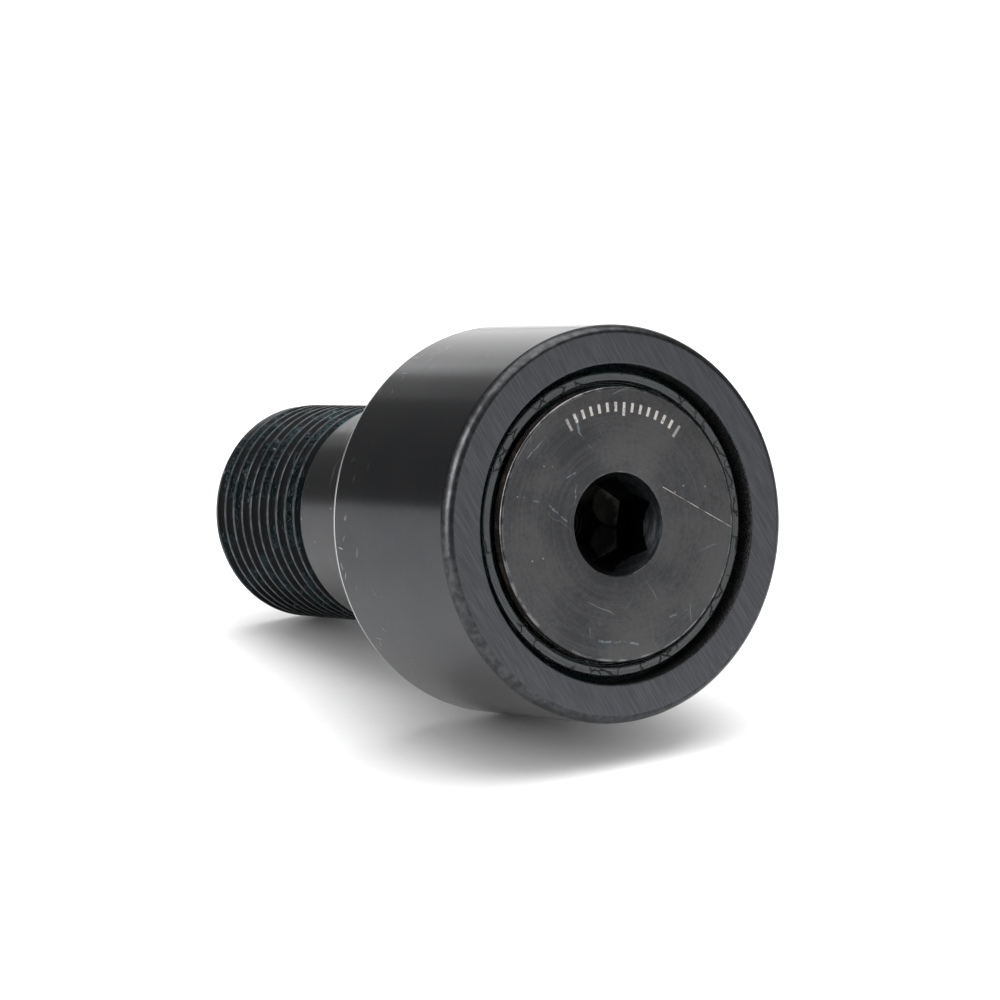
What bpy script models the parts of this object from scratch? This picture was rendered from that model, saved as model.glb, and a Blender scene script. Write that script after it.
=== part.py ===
"""Stud-type cam follower with a full set of needle rollers, as its separate pieces.

The stud lies along X. The roller is at the +X end, the thread at the -X end, and the origin is on the
axis in the plane of the mounting shoulder, which is the outer face of the back endplate. All sizes are
in metres.
"""

import math

import bmesh
import bpy

INCH = 0.0254
MM = 0.001

# Catalogue sizes of a 1-1/2 inch heavy-stud follower.
ROLLER_DIAMETER = 1.5 * INCH
ROLLER_WIDTH = 0.875 * INCH
STUD_DIAMETER = 0.875 * INCH
STUD_LENGTH = 1.5 * INCH
THREAD_LENGTH = 0.75 * INCH
THREAD_PITCH = INCH / 14
HEX_ACROSS_FLATS = INCH * 5 / 16
SHOULDER_STAND_OUT = INCH / 32
GREASE_HOLE_DIAMETER = INCH * 3 / 16

# Bearing inside.
NEEDLE_COUNT = 28
OUTER_RACEWAY_RADIUS = 14.30 * MM
INNER_RACEWAY_RADIUS = 11.45 * MM
NEEDLE_RADIUS = 1.40 * MM
NEEDLE_END_PLAY = 0.15 * MM
NEEDLE_END_CHAMFER = 0.30 * MM
ENDPLATE_SEAT_RADIUS = 11.20 * MM

# Flange, endplate and the counterbores that they sit in.
FLANGE_RADIUS = 13.20 * MM
PLATE_THICKNESS = 3.20 * MM
PLATE_EDGE_CHAMFER = 0.35 * MM
COUNTERBORE_RADIUS = 15.32 * MM
COUNTERBORE_CHAMFER = 0.15 * MM
RING_CORNER_AXIAL = 1.09 * MM
RING_CORNER_RADIAL = 0.94 * MM
RING_CORNER_STEPS = 4
RELIEF_WIDTH = 0.60 * MM
RELIEF_DEPTH = 0.20 * MM

# Rubber seal: a foot in the counterbore with a raised bead round its inner part.
SEAL_LIP_RADIUS = 13.45 * MM
SEAL_BEAD_INNER_RADIUS = 13.60 * MM
SEAL_BEAD_OUTER_RADIUS = 14.60 * MM
SEAL_FOOT_THICKNESS = 1.00 * MM
SEAL_BEAD_BELOW_FACE = 0.90 * MM
SEAL_BEAD_CHAMFER = 0.20 * MM

# Hex socket in the front of the stud.
SOCKET_TURN = math.radians(19.5)
SOCKET_MOUTH_RADIUS = 5.00 * MM
SOCKET_MOUTH_HALF_ANGLE = math.radians(30)
SOCKET_HEX_DEPTH = 6.90 * MM
PILOT_RADIUS = 3.80 * MM
PILOT_DEPTH = 8.60 * MM
DRILL_HALF_ANGLE = math.radians(59)

# Grease passages and their plugs.
CROSS_HOLE_X = -0.375 * INCH
AXIAL_HOLE_TIP_X = 9.50 * MM
RACEWAY_FEED_X = 7.00 * MM
RACEWAY_FEED_RADIUS = 1.20 * MM
PLUG_LENGTH = 4.50 * MM
PLUG_BELOW_SURFACE = 0.40 * MM
PLUG_HOLLOW_RADIUS = 1.50 * MM
PLUG_HOLLOW_DEPTH = 1.20 * MM
PLUG_LEAD_CHAMFER = 0.30 * MM

# Thread form: a pitch is split into crest, flank, root and flank, with the flanks at 30 degrees.
# Sixty-fourths keep its points off the end rings by at least one step of the round outline.
THREAD_FLANK_SHARE = 20 / 64
THREAD_DEPTH = THREAD_FLANK_SHARE * THREAD_PITCH / math.tan(math.radians(30))
THREAD_STEPS = (("crest", 0 / 64), ("crest", 12 / 64), ("root", 32 / 64), ("root", 44 / 64))
THREAD_RUN_OUT = 1.25 * THREAD_PITCH
STUD_END_CHAMFER = 1.00 * MM

# Facets and gaps.
ROUND_SIDES = 64
NEEDLE_SIDES = 12
PLUG_SIDES = 24
PRESS_GAP = 0.02 * MM
CUTTER_OVERRUN = 1.00 * MM
WELD_DISTANCE = 1e-7
SHARP_ANGLE = math.radians(35)

# Places along the axis.
RING_BACK_X = SHOULDER_STAND_OUT
RING_FRONT_X = RING_BACK_X + ROLLER_WIDTH
FLANGE_FRONT_X = RING_FRONT_X
FLANGE_BACK_X = FLANGE_FRONT_X - PLATE_THICKNESS
STUD_END_X = -STUD_LENGTH
THREAD_START_X = STUD_END_X + THREAD_LENGTH
STUD_RADIUS = STUD_DIAMETER / 2


def clear_scene():
    """Empties the scene that the script runs in."""
    for thing in list(bpy.data.objects):
        bpy.data.objects.remove(thing, do_unlink=True)


def make_finish(name, colour, roughness, metallic):
    """A plain Principled material."""
    material = bpy.data.materials.new(name)
    material.use_nodes = True
    shader = material.node_tree.nodes["Principled BSDF"]
    shader.inputs["Base Color"].default_value = (*colour, 1.0)
    shader.inputs["Roughness"].default_value = roughness
    shader.inputs["Metallic"].default_value = metallic
    return material


def ring_lane(x, radius, sides):
    """Points round the axis at one place and radius. The last one closes on the first."""
    angles = [2 * math.pi * step / sides for step in range(sides + 1)]
    return [(x, radius * math.cos(angle), radius * math.sin(angle)) for angle in angles]


def skin_lanes(lanes):
    """One closed mesh with a strip of faces between each lane of points and the next."""
    shape = bmesh.new()
    rows = [[shape.verts.new(point) for point in lane] for lane in lanes]
    for row, next_row in zip(rows, rows[1:]):
        for step in range(len(row) - 1):
            shape.faces.new((row[step], row[step + 1], next_row[step + 1], next_row[step]))
    bmesh.ops.remove_doubles(shape, verts=shape.verts, dist=WELD_DISTANCE)
    bmesh.ops.recalc_face_normals(shape, faces=shape.faces)
    return shape


def finish_mesh(name, shape):
    """Mesh data from the working mesh, shaded smooth but for its sharp edges."""
    mesh = bpy.data.meshes.new(name)
    shape.to_mesh(mesh)
    shape.free()
    mesh.shade_smooth()
    mesh.set_sharp_from_angle(angle=SHARP_ANGLE)
    return mesh


def add_object(name, mesh, material=None):
    """A named object in the scene. One mesh may serve several objects."""
    thing = bpy.data.objects.new(name, mesh)
    if material is not None and not mesh.materials:
        mesh.materials.append(material)
    bpy.context.scene.collection.objects.link(thing)
    return thing


def turned_mesh(name, outline, sides=ROUND_SIDES):
    """A lathe-turned mesh from (x, radius) points, which start and end on the axis or close on themselves."""
    lanes = [ring_lane(x, radius, sides) for x, radius in outline]
    return finish_mesh(name, skin_lanes(lanes))


def turned_piece(name, outline, material, sides=ROUND_SIDES):
    """A lathe-turned piece."""
    return add_object(name, turned_mesh(name, outline, sides), material)


def cut(target, cutter):
    """Cuts one solid out of another and hides the cutter."""
    cutter.hide_render = True
    cutter.display_type = "WIRE"
    modifier = target.modifiers.new(cutter.name, "BOOLEAN")
    modifier.operation = "DIFFERENCE"
    modifier.solver = "EXACT"
    modifier.object = cutter


def ring_corner(face_x, inward):
    """Points of the rounded outer corner of the ring, from its face to its running surface."""
    points = []
    for step in range(RING_CORNER_STEPS + 1):
        angle = math.pi / 2 * step / RING_CORNER_STEPS
        x = face_x + inward * RING_CORNER_AXIAL * (1 - math.cos(angle))
        radius = ROLLER_DIAMETER / 2 - RING_CORNER_RADIAL * (1 - math.sin(angle))
        points.append((x, radius))
    return points


def build_outer_ring(material):
    """The thick roller: rounded outer corners, a raceway inside, and a counterbore at each side."""
    front_floor_x = RING_FRONT_X - PLATE_THICKNESS
    back_floor_x = PLATE_THICKNESS
    outline = [
        (back_floor_x, OUTER_RACEWAY_RADIUS),
        (back_floor_x, COUNTERBORE_RADIUS),
        (RING_BACK_X + COUNTERBORE_CHAMFER, COUNTERBORE_RADIUS),
        (RING_BACK_X, COUNTERBORE_RADIUS + COUNTERBORE_CHAMFER),
        *ring_corner(RING_BACK_X, 1),
        *reversed(ring_corner(RING_FRONT_X, -1)),
        (RING_FRONT_X, COUNTERBORE_RADIUS + COUNTERBORE_CHAMFER),
        (RING_FRONT_X - COUNTERBORE_CHAMFER, COUNTERBORE_RADIUS),
        (front_floor_x, COUNTERBORE_RADIUS),
        (front_floor_x, OUTER_RACEWAY_RADIUS),
    ]
    outline.append(outline[0])
    return turned_piece("outer_ring", outline, material)


def build_back_endplate(material):
    """The washer that is pressed on the stud behind the needles. Its outer face is the mounting shoulder."""
    bore = ENDPLATE_SEAT_RADIUS + PRESS_GAP
    chamfer = PLATE_EDGE_CHAMFER
    front_x = PLATE_THICKNESS - PRESS_GAP
    outline = [
        (0, bore),
        (0, FLANGE_RADIUS - chamfer),
        (chamfer, FLANGE_RADIUS),
        (front_x - chamfer, FLANGE_RADIUS),
        (front_x, FLANGE_RADIUS - chamfer),
        (front_x, bore),
    ]
    outline.append(outline[0])
    return turned_piece("back_endplate", outline, material)


def build_seal(name, face_x, inward, material):
    """A rubber ring in the counterbore that opens at face_x. inward is +1 or -1, into the roller along X."""
    floor_x = PLATE_THICKNESS if inward > 0 else RING_FRONT_X - PLATE_THICKNESS
    foot_back_x = floor_x - inward * PRESS_GAP
    foot_front_x = foot_back_x - inward * SEAL_FOOT_THICKNESS
    bead_x = face_x + inward * SEAL_BEAD_BELOW_FACE
    bead_side_x = bead_x + inward * SEAL_BEAD_CHAMFER
    outline = [
        (foot_back_x, SEAL_LIP_RADIUS),
        (foot_back_x, COUNTERBORE_RADIUS - PRESS_GAP),
        (foot_front_x, COUNTERBORE_RADIUS - PRESS_GAP),
        (foot_front_x, SEAL_BEAD_OUTER_RADIUS),
        (bead_side_x, SEAL_BEAD_OUTER_RADIUS),
        (bead_x, SEAL_BEAD_OUTER_RADIUS - SEAL_BEAD_CHAMFER),
        (bead_x, SEAL_BEAD_INNER_RADIUS + SEAL_BEAD_CHAMFER),
        (bead_side_x, SEAL_BEAD_INNER_RADIUS),
    ]
    outline.append(outline[0])
    return turned_piece(name, outline, material)


def thread_radius(x, step_kind):
    """Radius of a thread point. The root rises to the shank at the run-out, and the chamfer cuts the end."""
    depth = THREAD_DEPTH if step_kind == "root" else 0.0
    run_out_start_x = THREAD_START_X - THREAD_RUN_OUT
    faded = min(max((x - run_out_start_x) / THREAD_RUN_OUT, 0.0), 1.0)
    chamfered = STUD_RADIUS - STUD_END_CHAMFER + (x - STUD_END_X)
    return min(STUD_RADIUS - depth * (1 - faded), chamfered)


def thread_lanes():
    """Right-hand helical lanes of points, from the thread's run-out to the chamfered end."""
    turns = math.ceil(THREAD_LENGTH / THREAD_PITCH)
    lanes = []
    for turn in range(turns, -2, -1):
        for step_kind, part in reversed(THREAD_STEPS):
            lane = []
            for step in range(ROUND_SIDES + 1):
                share = step / ROUND_SIDES
                x = STUD_END_X + (turn + part + share) * THREAD_PITCH
                x = min(max(x, STUD_END_X), THREAD_START_X)
                radius = thread_radius(x, step_kind)
                angle = 2 * math.pi * share
                lane.append((x, radius * math.cos(angle), radius * math.sin(angle)))
            lanes.append(lane)
    return lanes


def stud_lanes():
    """Lanes of points down the whole outside of the stud, from the middle of its flange to its end."""
    chamfer = PLATE_EDGE_CHAMFER
    relief_radius = INNER_RACEWAY_RADIUS - RELIEF_DEPTH
    outline = [
        (FLANGE_FRONT_X, 0.0),
        (FLANGE_FRONT_X, FLANGE_RADIUS - chamfer),
        (FLANGE_FRONT_X - chamfer, FLANGE_RADIUS),
        (FLANGE_BACK_X, FLANGE_RADIUS),
        (FLANGE_BACK_X, relief_radius),
        (FLANGE_BACK_X - RELIEF_WIDTH, relief_radius),
        (FLANGE_BACK_X - RELIEF_WIDTH, INNER_RACEWAY_RADIUS),
        (PLATE_THICKNESS, INNER_RACEWAY_RADIUS),
        (PLATE_THICKNESS, ENDPLATE_SEAT_RADIUS),
        (0.0, ENDPLATE_SEAT_RADIUS),
        (STUD_RADIUS - ENDPLATE_SEAT_RADIUS, STUD_RADIUS),
        (THREAD_START_X, STUD_RADIUS),
    ]
    lanes = [ring_lane(x, radius, ROUND_SIDES) for x, radius in outline]
    lanes += thread_lanes()
    lanes.append(ring_lane(STUD_END_X, 0.0, ROUND_SIDES))
    return lanes


def socket_hex_cutter():
    """Six-sided prism. Its first corner is turned a little up from +Y, as the broach happened to stand."""
    corner_radius = HEX_ACROSS_FLATS / 2 / math.cos(math.radians(30))
    outline = [
        (FLANGE_FRONT_X + CUTTER_OVERRUN, 0.0),
        (FLANGE_FRONT_X + CUTTER_OVERRUN, corner_radius),
        (FLANGE_FRONT_X - SOCKET_HEX_DEPTH, corner_radius),
        (FLANGE_FRONT_X - SOCKET_HEX_DEPTH, 0.0),
    ]
    cutter = turned_piece("cut_socket_hex", outline, None, 6)
    cutter.rotation_euler.x = SOCKET_TURN
    return cutter


def socket_drill_cutter():
    """The drilled pilot under the hex, with the drill's pointed end."""
    point_length = PILOT_RADIUS / math.tan(DRILL_HALF_ANGLE)
    shoulder_x = FLANGE_FRONT_X - PILOT_DEPTH
    outline = [
        (FLANGE_FRONT_X + CUTTER_OVERRUN, 0.0),
        (FLANGE_FRONT_X + CUTTER_OVERRUN, PILOT_RADIUS),
        (shoulder_x, PILOT_RADIUS),
        (shoulder_x - point_length, 0.0),
    ]
    return turned_piece("cut_socket_drill", outline, None, PLUG_SIDES)


def socket_mouth_cutter():
    """The countersink round the socket's mouth, which leaves a scallop over each flat of the hex."""
    slope = math.tan(SOCKET_MOUTH_HALF_ANGLE)
    outline = [
        (FLANGE_FRONT_X + CUTTER_OVERRUN, 0.0),
        (FLANGE_FRONT_X + CUTTER_OVERRUN, SOCKET_MOUTH_RADIUS + CUTTER_OVERRUN * slope),
        (FLANGE_FRONT_X - SOCKET_MOUTH_RADIUS / slope, 0.0),
    ]
    return turned_piece("cut_socket_mouth", outline, None)


def axial_hole_cutter():
    """The long grease hole up the middle of the stud from its threaded end."""
    radius = GREASE_HOLE_DIAMETER / 2
    point_length = radius / math.tan(DRILL_HALF_ANGLE)
    outline = [
        (AXIAL_HOLE_TIP_X, 0.0),
        (AXIAL_HOLE_TIP_X - point_length, radius),
        (STUD_END_X - CUTTER_OVERRUN, radius),
        (STUD_END_X - CUTTER_OVERRUN, 0.0),
    ]
    return turned_piece("cut_axial_hole", outline, None, PLUG_SIDES)


def side_hole_cutter(name, x, radius, reach, turn):
    """A round cutter from inside the axial hole out through the stud's side. turn swings it there from +X."""
    start = GREASE_HOLE_DIAMETER / 4
    outline = [(start, 0.0), (start, radius), (reach, radius), (reach, 0.0)]
    cutter = turned_piece(name, outline, None, PLUG_SIDES)
    cutter.location.x = x
    cutter.rotation_euler = turn
    return cutter


def build_stud(material):
    """The stud: flange, raceway, endplate seat, shank and thread, with its socket and grease holes cut."""
    stud = add_object("stud", finish_mesh("stud", skin_lanes(stud_lanes())), material)
    to_y = (0, 0, math.pi / 2)
    to_z = (0, -math.pi / 2, 0)
    hole_radius = GREASE_HOLE_DIAMETER / 2
    cross_reach = STUD_RADIUS + CUTTER_OVERRUN
    feed_reach = INNER_RACEWAY_RADIUS + CUTTER_OVERRUN
    cut(stud, socket_hex_cutter())
    cut(stud, socket_drill_cutter())
    cut(stud, socket_mouth_cutter())
    cut(stud, axial_hole_cutter())
    cut(stud, side_hole_cutter("cut_cross_hole", CROSS_HOLE_X, hole_radius, cross_reach, to_y))
    cut(stud, side_hole_cutter("cut_raceway_feed", RACEWAY_FEED_X, RACEWAY_FEED_RADIUS, feed_reach, to_z))


def plug_mesh(name):
    """A short drive plug along X whose outer end, at the origin and facing -X, is hollowed."""
    radius = GREASE_HOLE_DIAMETER / 2 - PRESS_GAP
    outline = [
        (PLUG_HOLLOW_DEPTH, 0.0),
        (0.0, PLUG_HOLLOW_RADIUS),
        (0.0, radius),
        (PLUG_LENGTH - PLUG_LEAD_CHAMFER, radius),
        (PLUG_LENGTH, radius - PLUG_LEAD_CHAMFER),
        (PLUG_LENGTH, 0.0),
    ]
    return turned_mesh(name, outline, PLUG_SIDES)


def build_plugs(material):
    """One plug in the stud's end and one in the cross hole, each a little below the surface."""
    end_plug = add_object("end_plug", plug_mesh("end_plug"), material)
    end_plug.location.x = STUD_END_X + PLUG_BELOW_SURFACE
    cross_plug = add_object("cross_hole_plug", plug_mesh("cross_hole_plug"), material)
    cross_plug.location = (CROSS_HOLE_X, STUD_RADIUS - PLUG_BELOW_SURFACE, 0)
    cross_plug.rotation_euler.z = -math.pi / 2


def build_needles(material):
    """The full complement of needles round the inner raceway, all under one empty on the axis."""
    length = FLANGE_BACK_X - PLATE_THICKNESS - 2 * NEEDLE_END_PLAY
    middle_x = (FLANGE_BACK_X + PLATE_THICKNESS) / 2
    half = length / 2
    chamfer = NEEDLE_END_CHAMFER
    outline = [
        (-half, 0.0),
        (-half, NEEDLE_RADIUS - chamfer),
        (-half + chamfer, NEEDLE_RADIUS),
        (half - chamfer, NEEDLE_RADIUS),
        (half, NEEDLE_RADIUS - chamfer),
        (half, 0.0),
    ]
    mesh = turned_mesh("needle", outline, NEEDLE_SIDES)
    mesh.materials.append(material)
    pitch_radius = (INNER_RACEWAY_RADIUS + OUTER_RACEWAY_RADIUS) / 2
    orbit = bpy.data.objects.new("needle_orbit_axis", None)
    orbit.location.x = middle_x
    bpy.context.scene.collection.objects.link(orbit)
    for number in range(NEEDLE_COUNT):
        angle = 2 * math.pi * number / NEEDLE_COUNT
        needle = add_object(f"needle_{number + 1:02d}", mesh)
        needle.location = (0, pitch_radius * math.cos(angle), pitch_radius * math.sin(angle))
        needle.rotation_euler.x = angle
        needle.parent = orbit


def build():
    """The whole follower."""
    clear_scene()
    oxide_steel = make_finish("oxide_steel", (0.035, 0.038, 0.048), 0.42, 0.85)
    ground_steel = make_finish("ground_oxide_steel", (0.050, 0.054, 0.066), 0.32, 0.90)
    bright_steel = make_finish("bright_steel", (0.55, 0.56, 0.58), 0.18, 1.0)
    plug_steel = make_finish("plug_steel", (0.30, 0.30, 0.31), 0.35, 1.0)
    rubber = make_finish("seal_rubber", (0.012, 0.016, 0.014), 0.35, 0.0)
    build_stud(oxide_steel)
    build_outer_ring(ground_steel)
    build_back_endplate(oxide_steel)
    build_seal("front_seal", RING_FRONT_X, -1, rubber)
    build_seal("back_seal", RING_BACK_X, 1, rubber)
    build_needles(bright_steel)
    build_plugs(plug_steel)


build()
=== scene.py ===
# %% [markdown]
# # A stud-type cam follower, dressed for its picture
# This notebook starts from the follower's packed engineering model, which fixes every size and every moving
# joint. On top of that it builds finer pieces, gives each one a finish, and sets up a table, lights and a camera.
# Everything is in metres, in the same frame as the model: the stud lies along X, the roller is at the +X end
# and the thread at the -X end.
#
# The first cell loads the model as a fixed frame and keeps its outer box, which the finer pieces must not leave.

import math

import bmesh
import bpy
from mathutils import Matrix, Vector


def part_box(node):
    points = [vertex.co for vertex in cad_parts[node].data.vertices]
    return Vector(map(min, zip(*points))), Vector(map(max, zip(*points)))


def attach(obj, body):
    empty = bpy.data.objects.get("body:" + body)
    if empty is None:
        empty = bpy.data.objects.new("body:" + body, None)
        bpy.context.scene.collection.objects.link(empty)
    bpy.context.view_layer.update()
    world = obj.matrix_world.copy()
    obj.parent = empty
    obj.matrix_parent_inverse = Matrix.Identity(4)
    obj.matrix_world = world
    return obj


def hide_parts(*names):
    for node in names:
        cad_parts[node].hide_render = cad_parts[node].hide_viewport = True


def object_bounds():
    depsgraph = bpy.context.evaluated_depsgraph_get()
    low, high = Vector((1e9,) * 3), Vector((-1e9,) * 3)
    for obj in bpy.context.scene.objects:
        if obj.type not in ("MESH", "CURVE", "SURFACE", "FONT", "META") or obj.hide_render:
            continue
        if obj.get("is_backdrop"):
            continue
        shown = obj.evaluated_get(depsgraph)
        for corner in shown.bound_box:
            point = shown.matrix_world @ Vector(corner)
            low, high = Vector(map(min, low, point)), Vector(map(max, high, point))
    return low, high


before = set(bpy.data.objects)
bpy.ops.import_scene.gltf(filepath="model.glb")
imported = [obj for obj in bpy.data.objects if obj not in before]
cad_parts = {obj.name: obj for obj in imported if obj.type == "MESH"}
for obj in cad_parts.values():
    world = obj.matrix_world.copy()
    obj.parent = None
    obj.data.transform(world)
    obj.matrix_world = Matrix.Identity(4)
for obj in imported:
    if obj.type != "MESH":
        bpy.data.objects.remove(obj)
cad_low, cad_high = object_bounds()

# %% [markdown]
# ## Sizes
# The places along the axis and the outer radii are read from the model's own pieces, so a change of the model
# carries over. The sizes that a box can't tell, such as the flange's radius or the thread's depth, repeat the
# engineering source.

# %% Read the main sizes
MM = 0.001
TURN = 2 * math.pi
ring_low, ring_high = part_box("outer_ring")
stud_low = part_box("stud")[0]
seal_low, seal_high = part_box("front_seal")
back_seal_low, back_seal_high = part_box("back_seal")
washer_low, washer_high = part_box("back_endplate")
needle_low, needle_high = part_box("needle_01")

FACE_X = ring_high.x
RING_BACK_X = ring_low.x
RING_RADIUS = ring_high.z
END_X = stud_low.x
WASHER_RADIUS = washer_high.z
STUD_RADIUS = 11.1125 * MM
PLATE = 3.20 * MM
FLANGE_RADIUS = 13.20 * MM
COUNTERBORE_RADIUS = 15.32 * MM
OUTER_RACEWAY_RADIUS = 14.30 * MM
INNER_RACEWAY_RADIUS = 11.45 * MM
SEAT_RADIUS = 11.20 * MM
GREASE_HOLE_RADIUS = 2.38125 * MM
print(f"roller {2 * RING_RADIUS / MM:.2f} mm across, {(FACE_X - RING_BACK_X) / MM:.2f} mm wide")
print(f"stud end at {END_X / MM:.2f} mm")

# %% [markdown]
# ## How a turned piece is drawn
# Almost every piece here came off a lathe or a grinder, so it is a half section swung once round the axis.
# By hand that is: add a plane, merge it to a single point, extrude that point along the section, and use Spin.
# A stack of cylinders would also do, but a section keeps every chamfer, groove and round in one list of points.
# `clear_selection` comes first each time, because an operator acts on everything that is selected.

# %% Helper: select nothing, and select one object
def clear_selection():
    """Leaves edit mode and deselects everything."""
    if bpy.context.object and bpy.context.object.mode != "OBJECT":
        bpy.ops.object.mode_set(mode="OBJECT")
    bpy.ops.object.select_all(action="DESELECT")


def take(piece):
    """Makes one object the selected and active one."""
    clear_selection()
    piece.select_set(True)
    bpy.context.view_layer.objects.active = piece


# %% Helper: apply placements, and copy a piece
def apply_places():
    """Turns the selected objects' placements into their meshes, so that the objects stay at the origin."""
    bpy.ops.object.transform_apply(location=True, rotation=True, scale=True)


def copy_of(piece):
    """A copy with a mesh of its own."""
    twin = piece.copy()
    twin.data = piece.data.copy()
    bpy.context.scene.collection.objects.link(twin)
    return twin


# %% Helper: select points, edges or faces by where they are
def pick(kind, test):
    """In edit mode, selects the points, edges or faces all of whose points pass the test."""
    bpy.ops.mesh.select_mode(type=kind)
    shape = bmesh.from_edit_mesh(bpy.context.object.data)
    items = {"VERT": shape.verts, "EDGE": shape.edges, "FACE": shape.faces}[kind]
    chosen = 0
    for item in items:
        points = [item] if kind == "VERT" else item.verts
        wanted = all(test(point.co) for point in points)
        item.select_set(wanted)
        chosen += wanted
    shape.select_flush_mode()
    bmesh.update_edit_mesh(bpy.context.object.data)
    return chosen


# %% Helper: draw a section and spin it
WELD = 2e-7


def draw_section(name, section, closed):
    """Starts a piece as one point, and extrudes that along the (x, radius) points. It stays in edit mode."""
    clear_selection()
    bpy.ops.mesh.primitive_plane_add(size=MM, location=(0, 0, 0))
    piece = bpy.context.object
    piece.name = name
    piece.data.name = name
    bpy.ops.object.mode_set(mode="EDIT")
    bpy.ops.mesh.select_mode(type="VERT")
    bpy.ops.mesh.select_all(action="SELECT")
    bpy.ops.mesh.merge(type="CENTER")
    x, radius = section[0]
    bpy.ops.transform.translate(value=(x, 0, radius))
    path = section[1:] + ([section[0]] if closed else [])
    for next_x, next_radius in path:
        bpy.ops.mesh.extrude_vertices_move(TRANSFORM_OT_translate={"value": (next_x - x, 0, next_radius - radius)})
        x, radius = next_x, next_radius
    return piece


def lathe(name, section, sides, closed):
    """A turned solid about X. A closed section joins its last point to its first."""
    piece = draw_section(name, section, closed)
    bpy.ops.mesh.select_all(action="SELECT")
    bpy.ops.mesh.remove_doubles(threshold=WELD)
    bpy.ops.mesh.spin(steps=sides, angle=TURN, center=(0, 0, 0), axis=(1, 0, 0))
    bpy.ops.mesh.select_all(action="SELECT")
    bpy.ops.mesh.remove_doubles(threshold=WELD)
    bpy.ops.mesh.normals_make_consistent(inside=False)
    bpy.ops.object.mode_set(mode="OBJECT")
    return piece


# %% [markdown]
# A turned edge is never a perfect corner. `arc` gives the points of a rounded corner for a section, and
# `round_edge` bevels a finished ring of edges, as the tool's nose or a deburring wheel would.

# %% Helper: rounds for sections and edges
def arc(centre_x, centre_radius, size_x, size_radius, start, stop, steps):
    """Points of an elliptic arc in a section. Angles are in degrees from +X towards larger radius."""
    points = []
    for step in range(steps + 1):
        angle = math.radians(start + (stop - start) * step / steps)
        points.append((centre_x + size_x * math.cos(angle), centre_radius + size_radius * math.sin(angle)))
    return points


def round_edge(piece, x, radius, size, steps=3):
    """Bevels the ring of edges that lies at this place and radius."""
    take(piece)
    bpy.ops.object.mode_set(mode="EDIT")
    near = 1e-6
    found = pick("EDGE", lambda p: abs(p.x - x) < near and abs(math.hypot(p.y, p.z) - radius) < near)
    bpy.ops.mesh.bevel(offset=size, segments=steps, profile=0.5, affect="EDGES", clamp_overlap=True)
    bpy.ops.object.mode_set(mode="OBJECT")
    if not found:
        print("  no edge found at", round(x / MM, 3), round(radius / MM, 3), "on", piece.name)


# %% Helper: combine two solids, shade a piece, and say what it is
def combine(piece, tool, operation):
    """Applies a Boolean of the tool to the piece, and throws the tool away."""
    take(piece)
    step = piece.modifiers.new(tool.name, "BOOLEAN")
    step.operation = operation
    step.solver = "EXACT"
    step.object = tool
    bpy.ops.object.modifier_apply(modifier=step.name)
    bpy.data.objects.remove(tool, do_unlink=True)


def weld(piece, distance):
    """Merges points closer than the distance, and points every face outwards."""
    take(piece)
    bpy.ops.object.mode_set(mode="EDIT")
    bpy.ops.mesh.select_all(action="SELECT")
    bpy.ops.mesh.remove_doubles(threshold=distance)
    bpy.ops.mesh.normals_make_consistent(inside=False)
    bpy.ops.object.mode_set(mode="OBJECT")


def smooth(piece, degrees):
    """Smooth shading, with sharp edges where two faces meet at more than this angle."""
    take(piece)
    bpy.ops.object.shade_smooth_by_angle(angle=math.radians(degrees))


def say(piece):
    """Prints a piece's size in triangles and how many edges don't have a face on each side."""
    shape = bmesh.new()
    shape.from_mesh(piece.data)
    triangles = sum(len(face.verts) - 2 for face in shape.faces)
    loose = sum(1 for edge in shape.edges if len(edge.link_faces) != 2)
    volume = shape.calc_volume(signed=True)
    shape.free()
    print(f"{piece.name}: {triangles} triangles, {loose} open edges, {volume * 1e9:.1f} cubic mm")


# %% [markdown]
# ## The outer ring
# The roller itself is a thick ring of hardened steel. Its running surface and faces are ground, its outer corners
# are rounded with a form tool, and a counterbore on each side makes room for a plate and a seal. Inside runs the
# raceway. All of it is one closed section. The corner round stops a few degrees short of the running surface,
# since grinding comes after turning and leaves a fine crisp line there.

# %% Draw and spin the outer ring
RING_SIDES = 256
CORNER_X = 1.09 * MM
CORNER_RADIAL = 0.94 * MM
CORNER_STEPS = 18
CORNER_STOP = math.radians(80)
EDGE_BREAK = 0.15 * MM


def ring_corner(face_x, inward):
    """Points of the round between a face of the ring and its running surface."""
    points = []
    for step in range(CORNER_STEPS + 1):
        angle = CORNER_STOP * step / CORNER_STEPS
        x = face_x + inward * CORNER_X * (1 - math.cos(angle)) / (1 - math.cos(CORNER_STOP))
        radius = RING_RADIUS - CORNER_RADIAL * (1 - math.sin(angle) / math.sin(CORNER_STOP))
        points.append((x, radius))
    return points


front_floor_x = FACE_X - PLATE
back_floor_x = PLATE
ring_section = [
    (back_floor_x, OUTER_RACEWAY_RADIUS),
    (back_floor_x, COUNTERBORE_RADIUS),
    *arc(RING_BACK_X + EDGE_BREAK, COUNTERBORE_RADIUS + EDGE_BREAK, EDGE_BREAK, EDGE_BREAK, 270, 180, 4),
    *ring_corner(RING_BACK_X, 1),
    *reversed(ring_corner(FACE_X, -1)),
    *arc(FACE_X - EDGE_BREAK, COUNTERBORE_RADIUS + EDGE_BREAK, EDGE_BREAK, EDGE_BREAK, 360, 270, 4),
    (front_floor_x, COUNTERBORE_RADIUS),
    (front_floor_x, OUTER_RACEWAY_RADIUS),
]
roller_ring = lathe("roller_ring", ring_section, RING_SIDES, closed=True)
for floor_x in (back_floor_x, front_floor_x):
    round_edge(roller_ring, floor_x, OUTER_RACEWAY_RADIUS, 0.12 * MM)
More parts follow.
